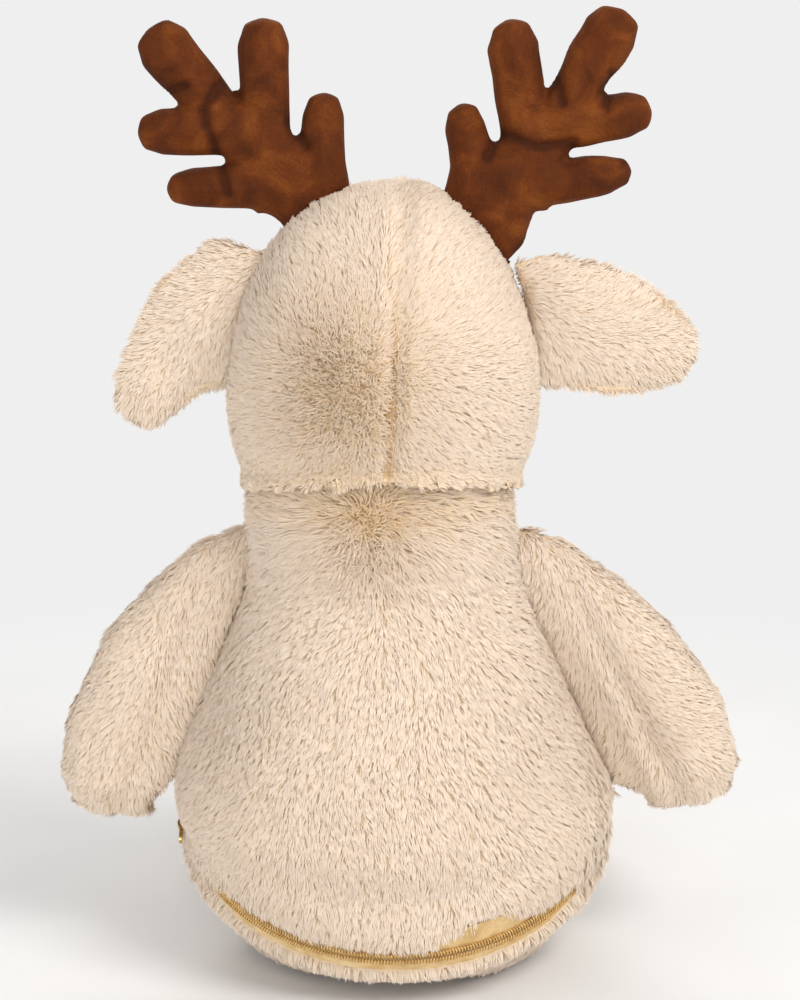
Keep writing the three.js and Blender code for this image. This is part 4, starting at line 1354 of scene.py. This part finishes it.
def seamless_paper():
    """Matt studio paper with faint clouds, lit near the toy and plain grey from there on."""
    material, tree = new_material("seamless_paper")
    clouds = add_node(tree, "ShaderNodeTexNoise", {"Scale": 900})
    pale = [(0.3, "#ececec"), (0.7, "#f1f1f1")]
    shade = add_node(tree, "ShaderNodeValToRGB", {"Fac": clouds.outputs["Fac"]}, pale)
    paper = add_node(tree, "ShaderNodeBsdfDiffuse", {"Color": shade.outputs["Color"]})
    glow = add_node(tree, "ShaderNodeEmission", {"Color": colour(BACKDROP), "Strength": 1})
    place = add_node(tree, "ShaderNodeNewGeometry")
    far = add_node(tree, "ShaderNodeVectorMath", {0: place.outputs["Position"]}, operation="LENGTH")
    fade = add_node(tree, "ShaderNodeMapRange", {
        "Value": far.outputs["Value"], "From Min": 0.25, "From Max": 0.8,
    }, interpolation_type="SMOOTHSTEP")
    seen = add_node(tree, "ShaderNodeMath", {
        0: fade.outputs["Result"], 1: seen_directly(tree),
    }, operation="MULTIPLY")
    mixed = add_node(tree, "ShaderNodeMixShader", {
        "Fac": seen.outputs["Value"], 1: paper.outputs["BSDF"], 2: glow.outputs["Emission"],
    })
    return finished(material, mixed.outputs["Shader"])


FLOOR_REACH = 60
floor = mesh_object("floor", [
    (-FLOOR_REACH, -FLOOR_REACH, 0), (FLOOR_REACH, -FLOOR_REACH, 0),
    (FLOOR_REACH, FLOOR_REACH, 0), (-FLOOR_REACH, FLOOR_REACH, 0),
], [(0, 1, 2, 3)])
floor.data.materials.append(seamless_paper())
print("floor:", 2 * FLOOR_REACH, "m wide")

# %% [markdown]
# The lamps are large and soft: a key from the upper right behind the camera, a weak fill from
# its other side, a low one that lifts the shade under the fur, one for the toy's front, and an
# even sky. Together they light a surface to about the level at which its colour renders as it
# is written.


# %% Light
def lamp(name, place, size, power, tint):
    """A square soft box that points at the middle of the toy."""
    data = bpy.data.lights.new(name, "AREA")
    data.size = size
    data.energy = power
    data.color = colour(tint)[:3]
    made = bpy.data.objects.new(name, data)
    made.location = place
    aim = Vector(place) - Vector((0, 0, 0.25))
    made.rotation_euler = aim.to_track_quat("Z", "Y").to_euler()
    bpy.context.scene.collection.objects.link(made)
    print(f"{name}: {power} W from {place}")


lamp("key_soft_box", (-1.35, 1.3, 1.9), 1.2, 35, "#fffcf8")
lamp("fill_soft_box", (1.5, 1.0, 0.9), 1.4, 4, "#f8faff")
lamp("front_soft_box", (0.3, -1.9, 1.2), 1.4, 20, "#fffcf8")
lamp("low_soft_box", (0.2, 1.8, 0.3), 1.0, 12, "#fffcf8")

world = bpy.data.worlds.new("studio")
world.use_nodes = True
world.node_tree.nodes.clear()
sky = add_node(world.node_tree, "ShaderNodeBackground", {
    "Color": colour("#ffffff"), "Strength": 0.53,
})
ground = add_node(world.node_tree, "ShaderNodeBackground", {
    "Color": colour(BACKDROP), "Strength": 1,
})
choose = add_node(world.node_tree, "ShaderNodeMixShader", {
    "Fac": seen_directly(world.node_tree),
    1: sky.outputs["Background"],
    2: ground.outputs["Background"],
})
add_node(world.node_tree, "ShaderNodeOutputWorld", {"Surface": choose.outputs["Shader"]})
bpy.context.scene.world = world
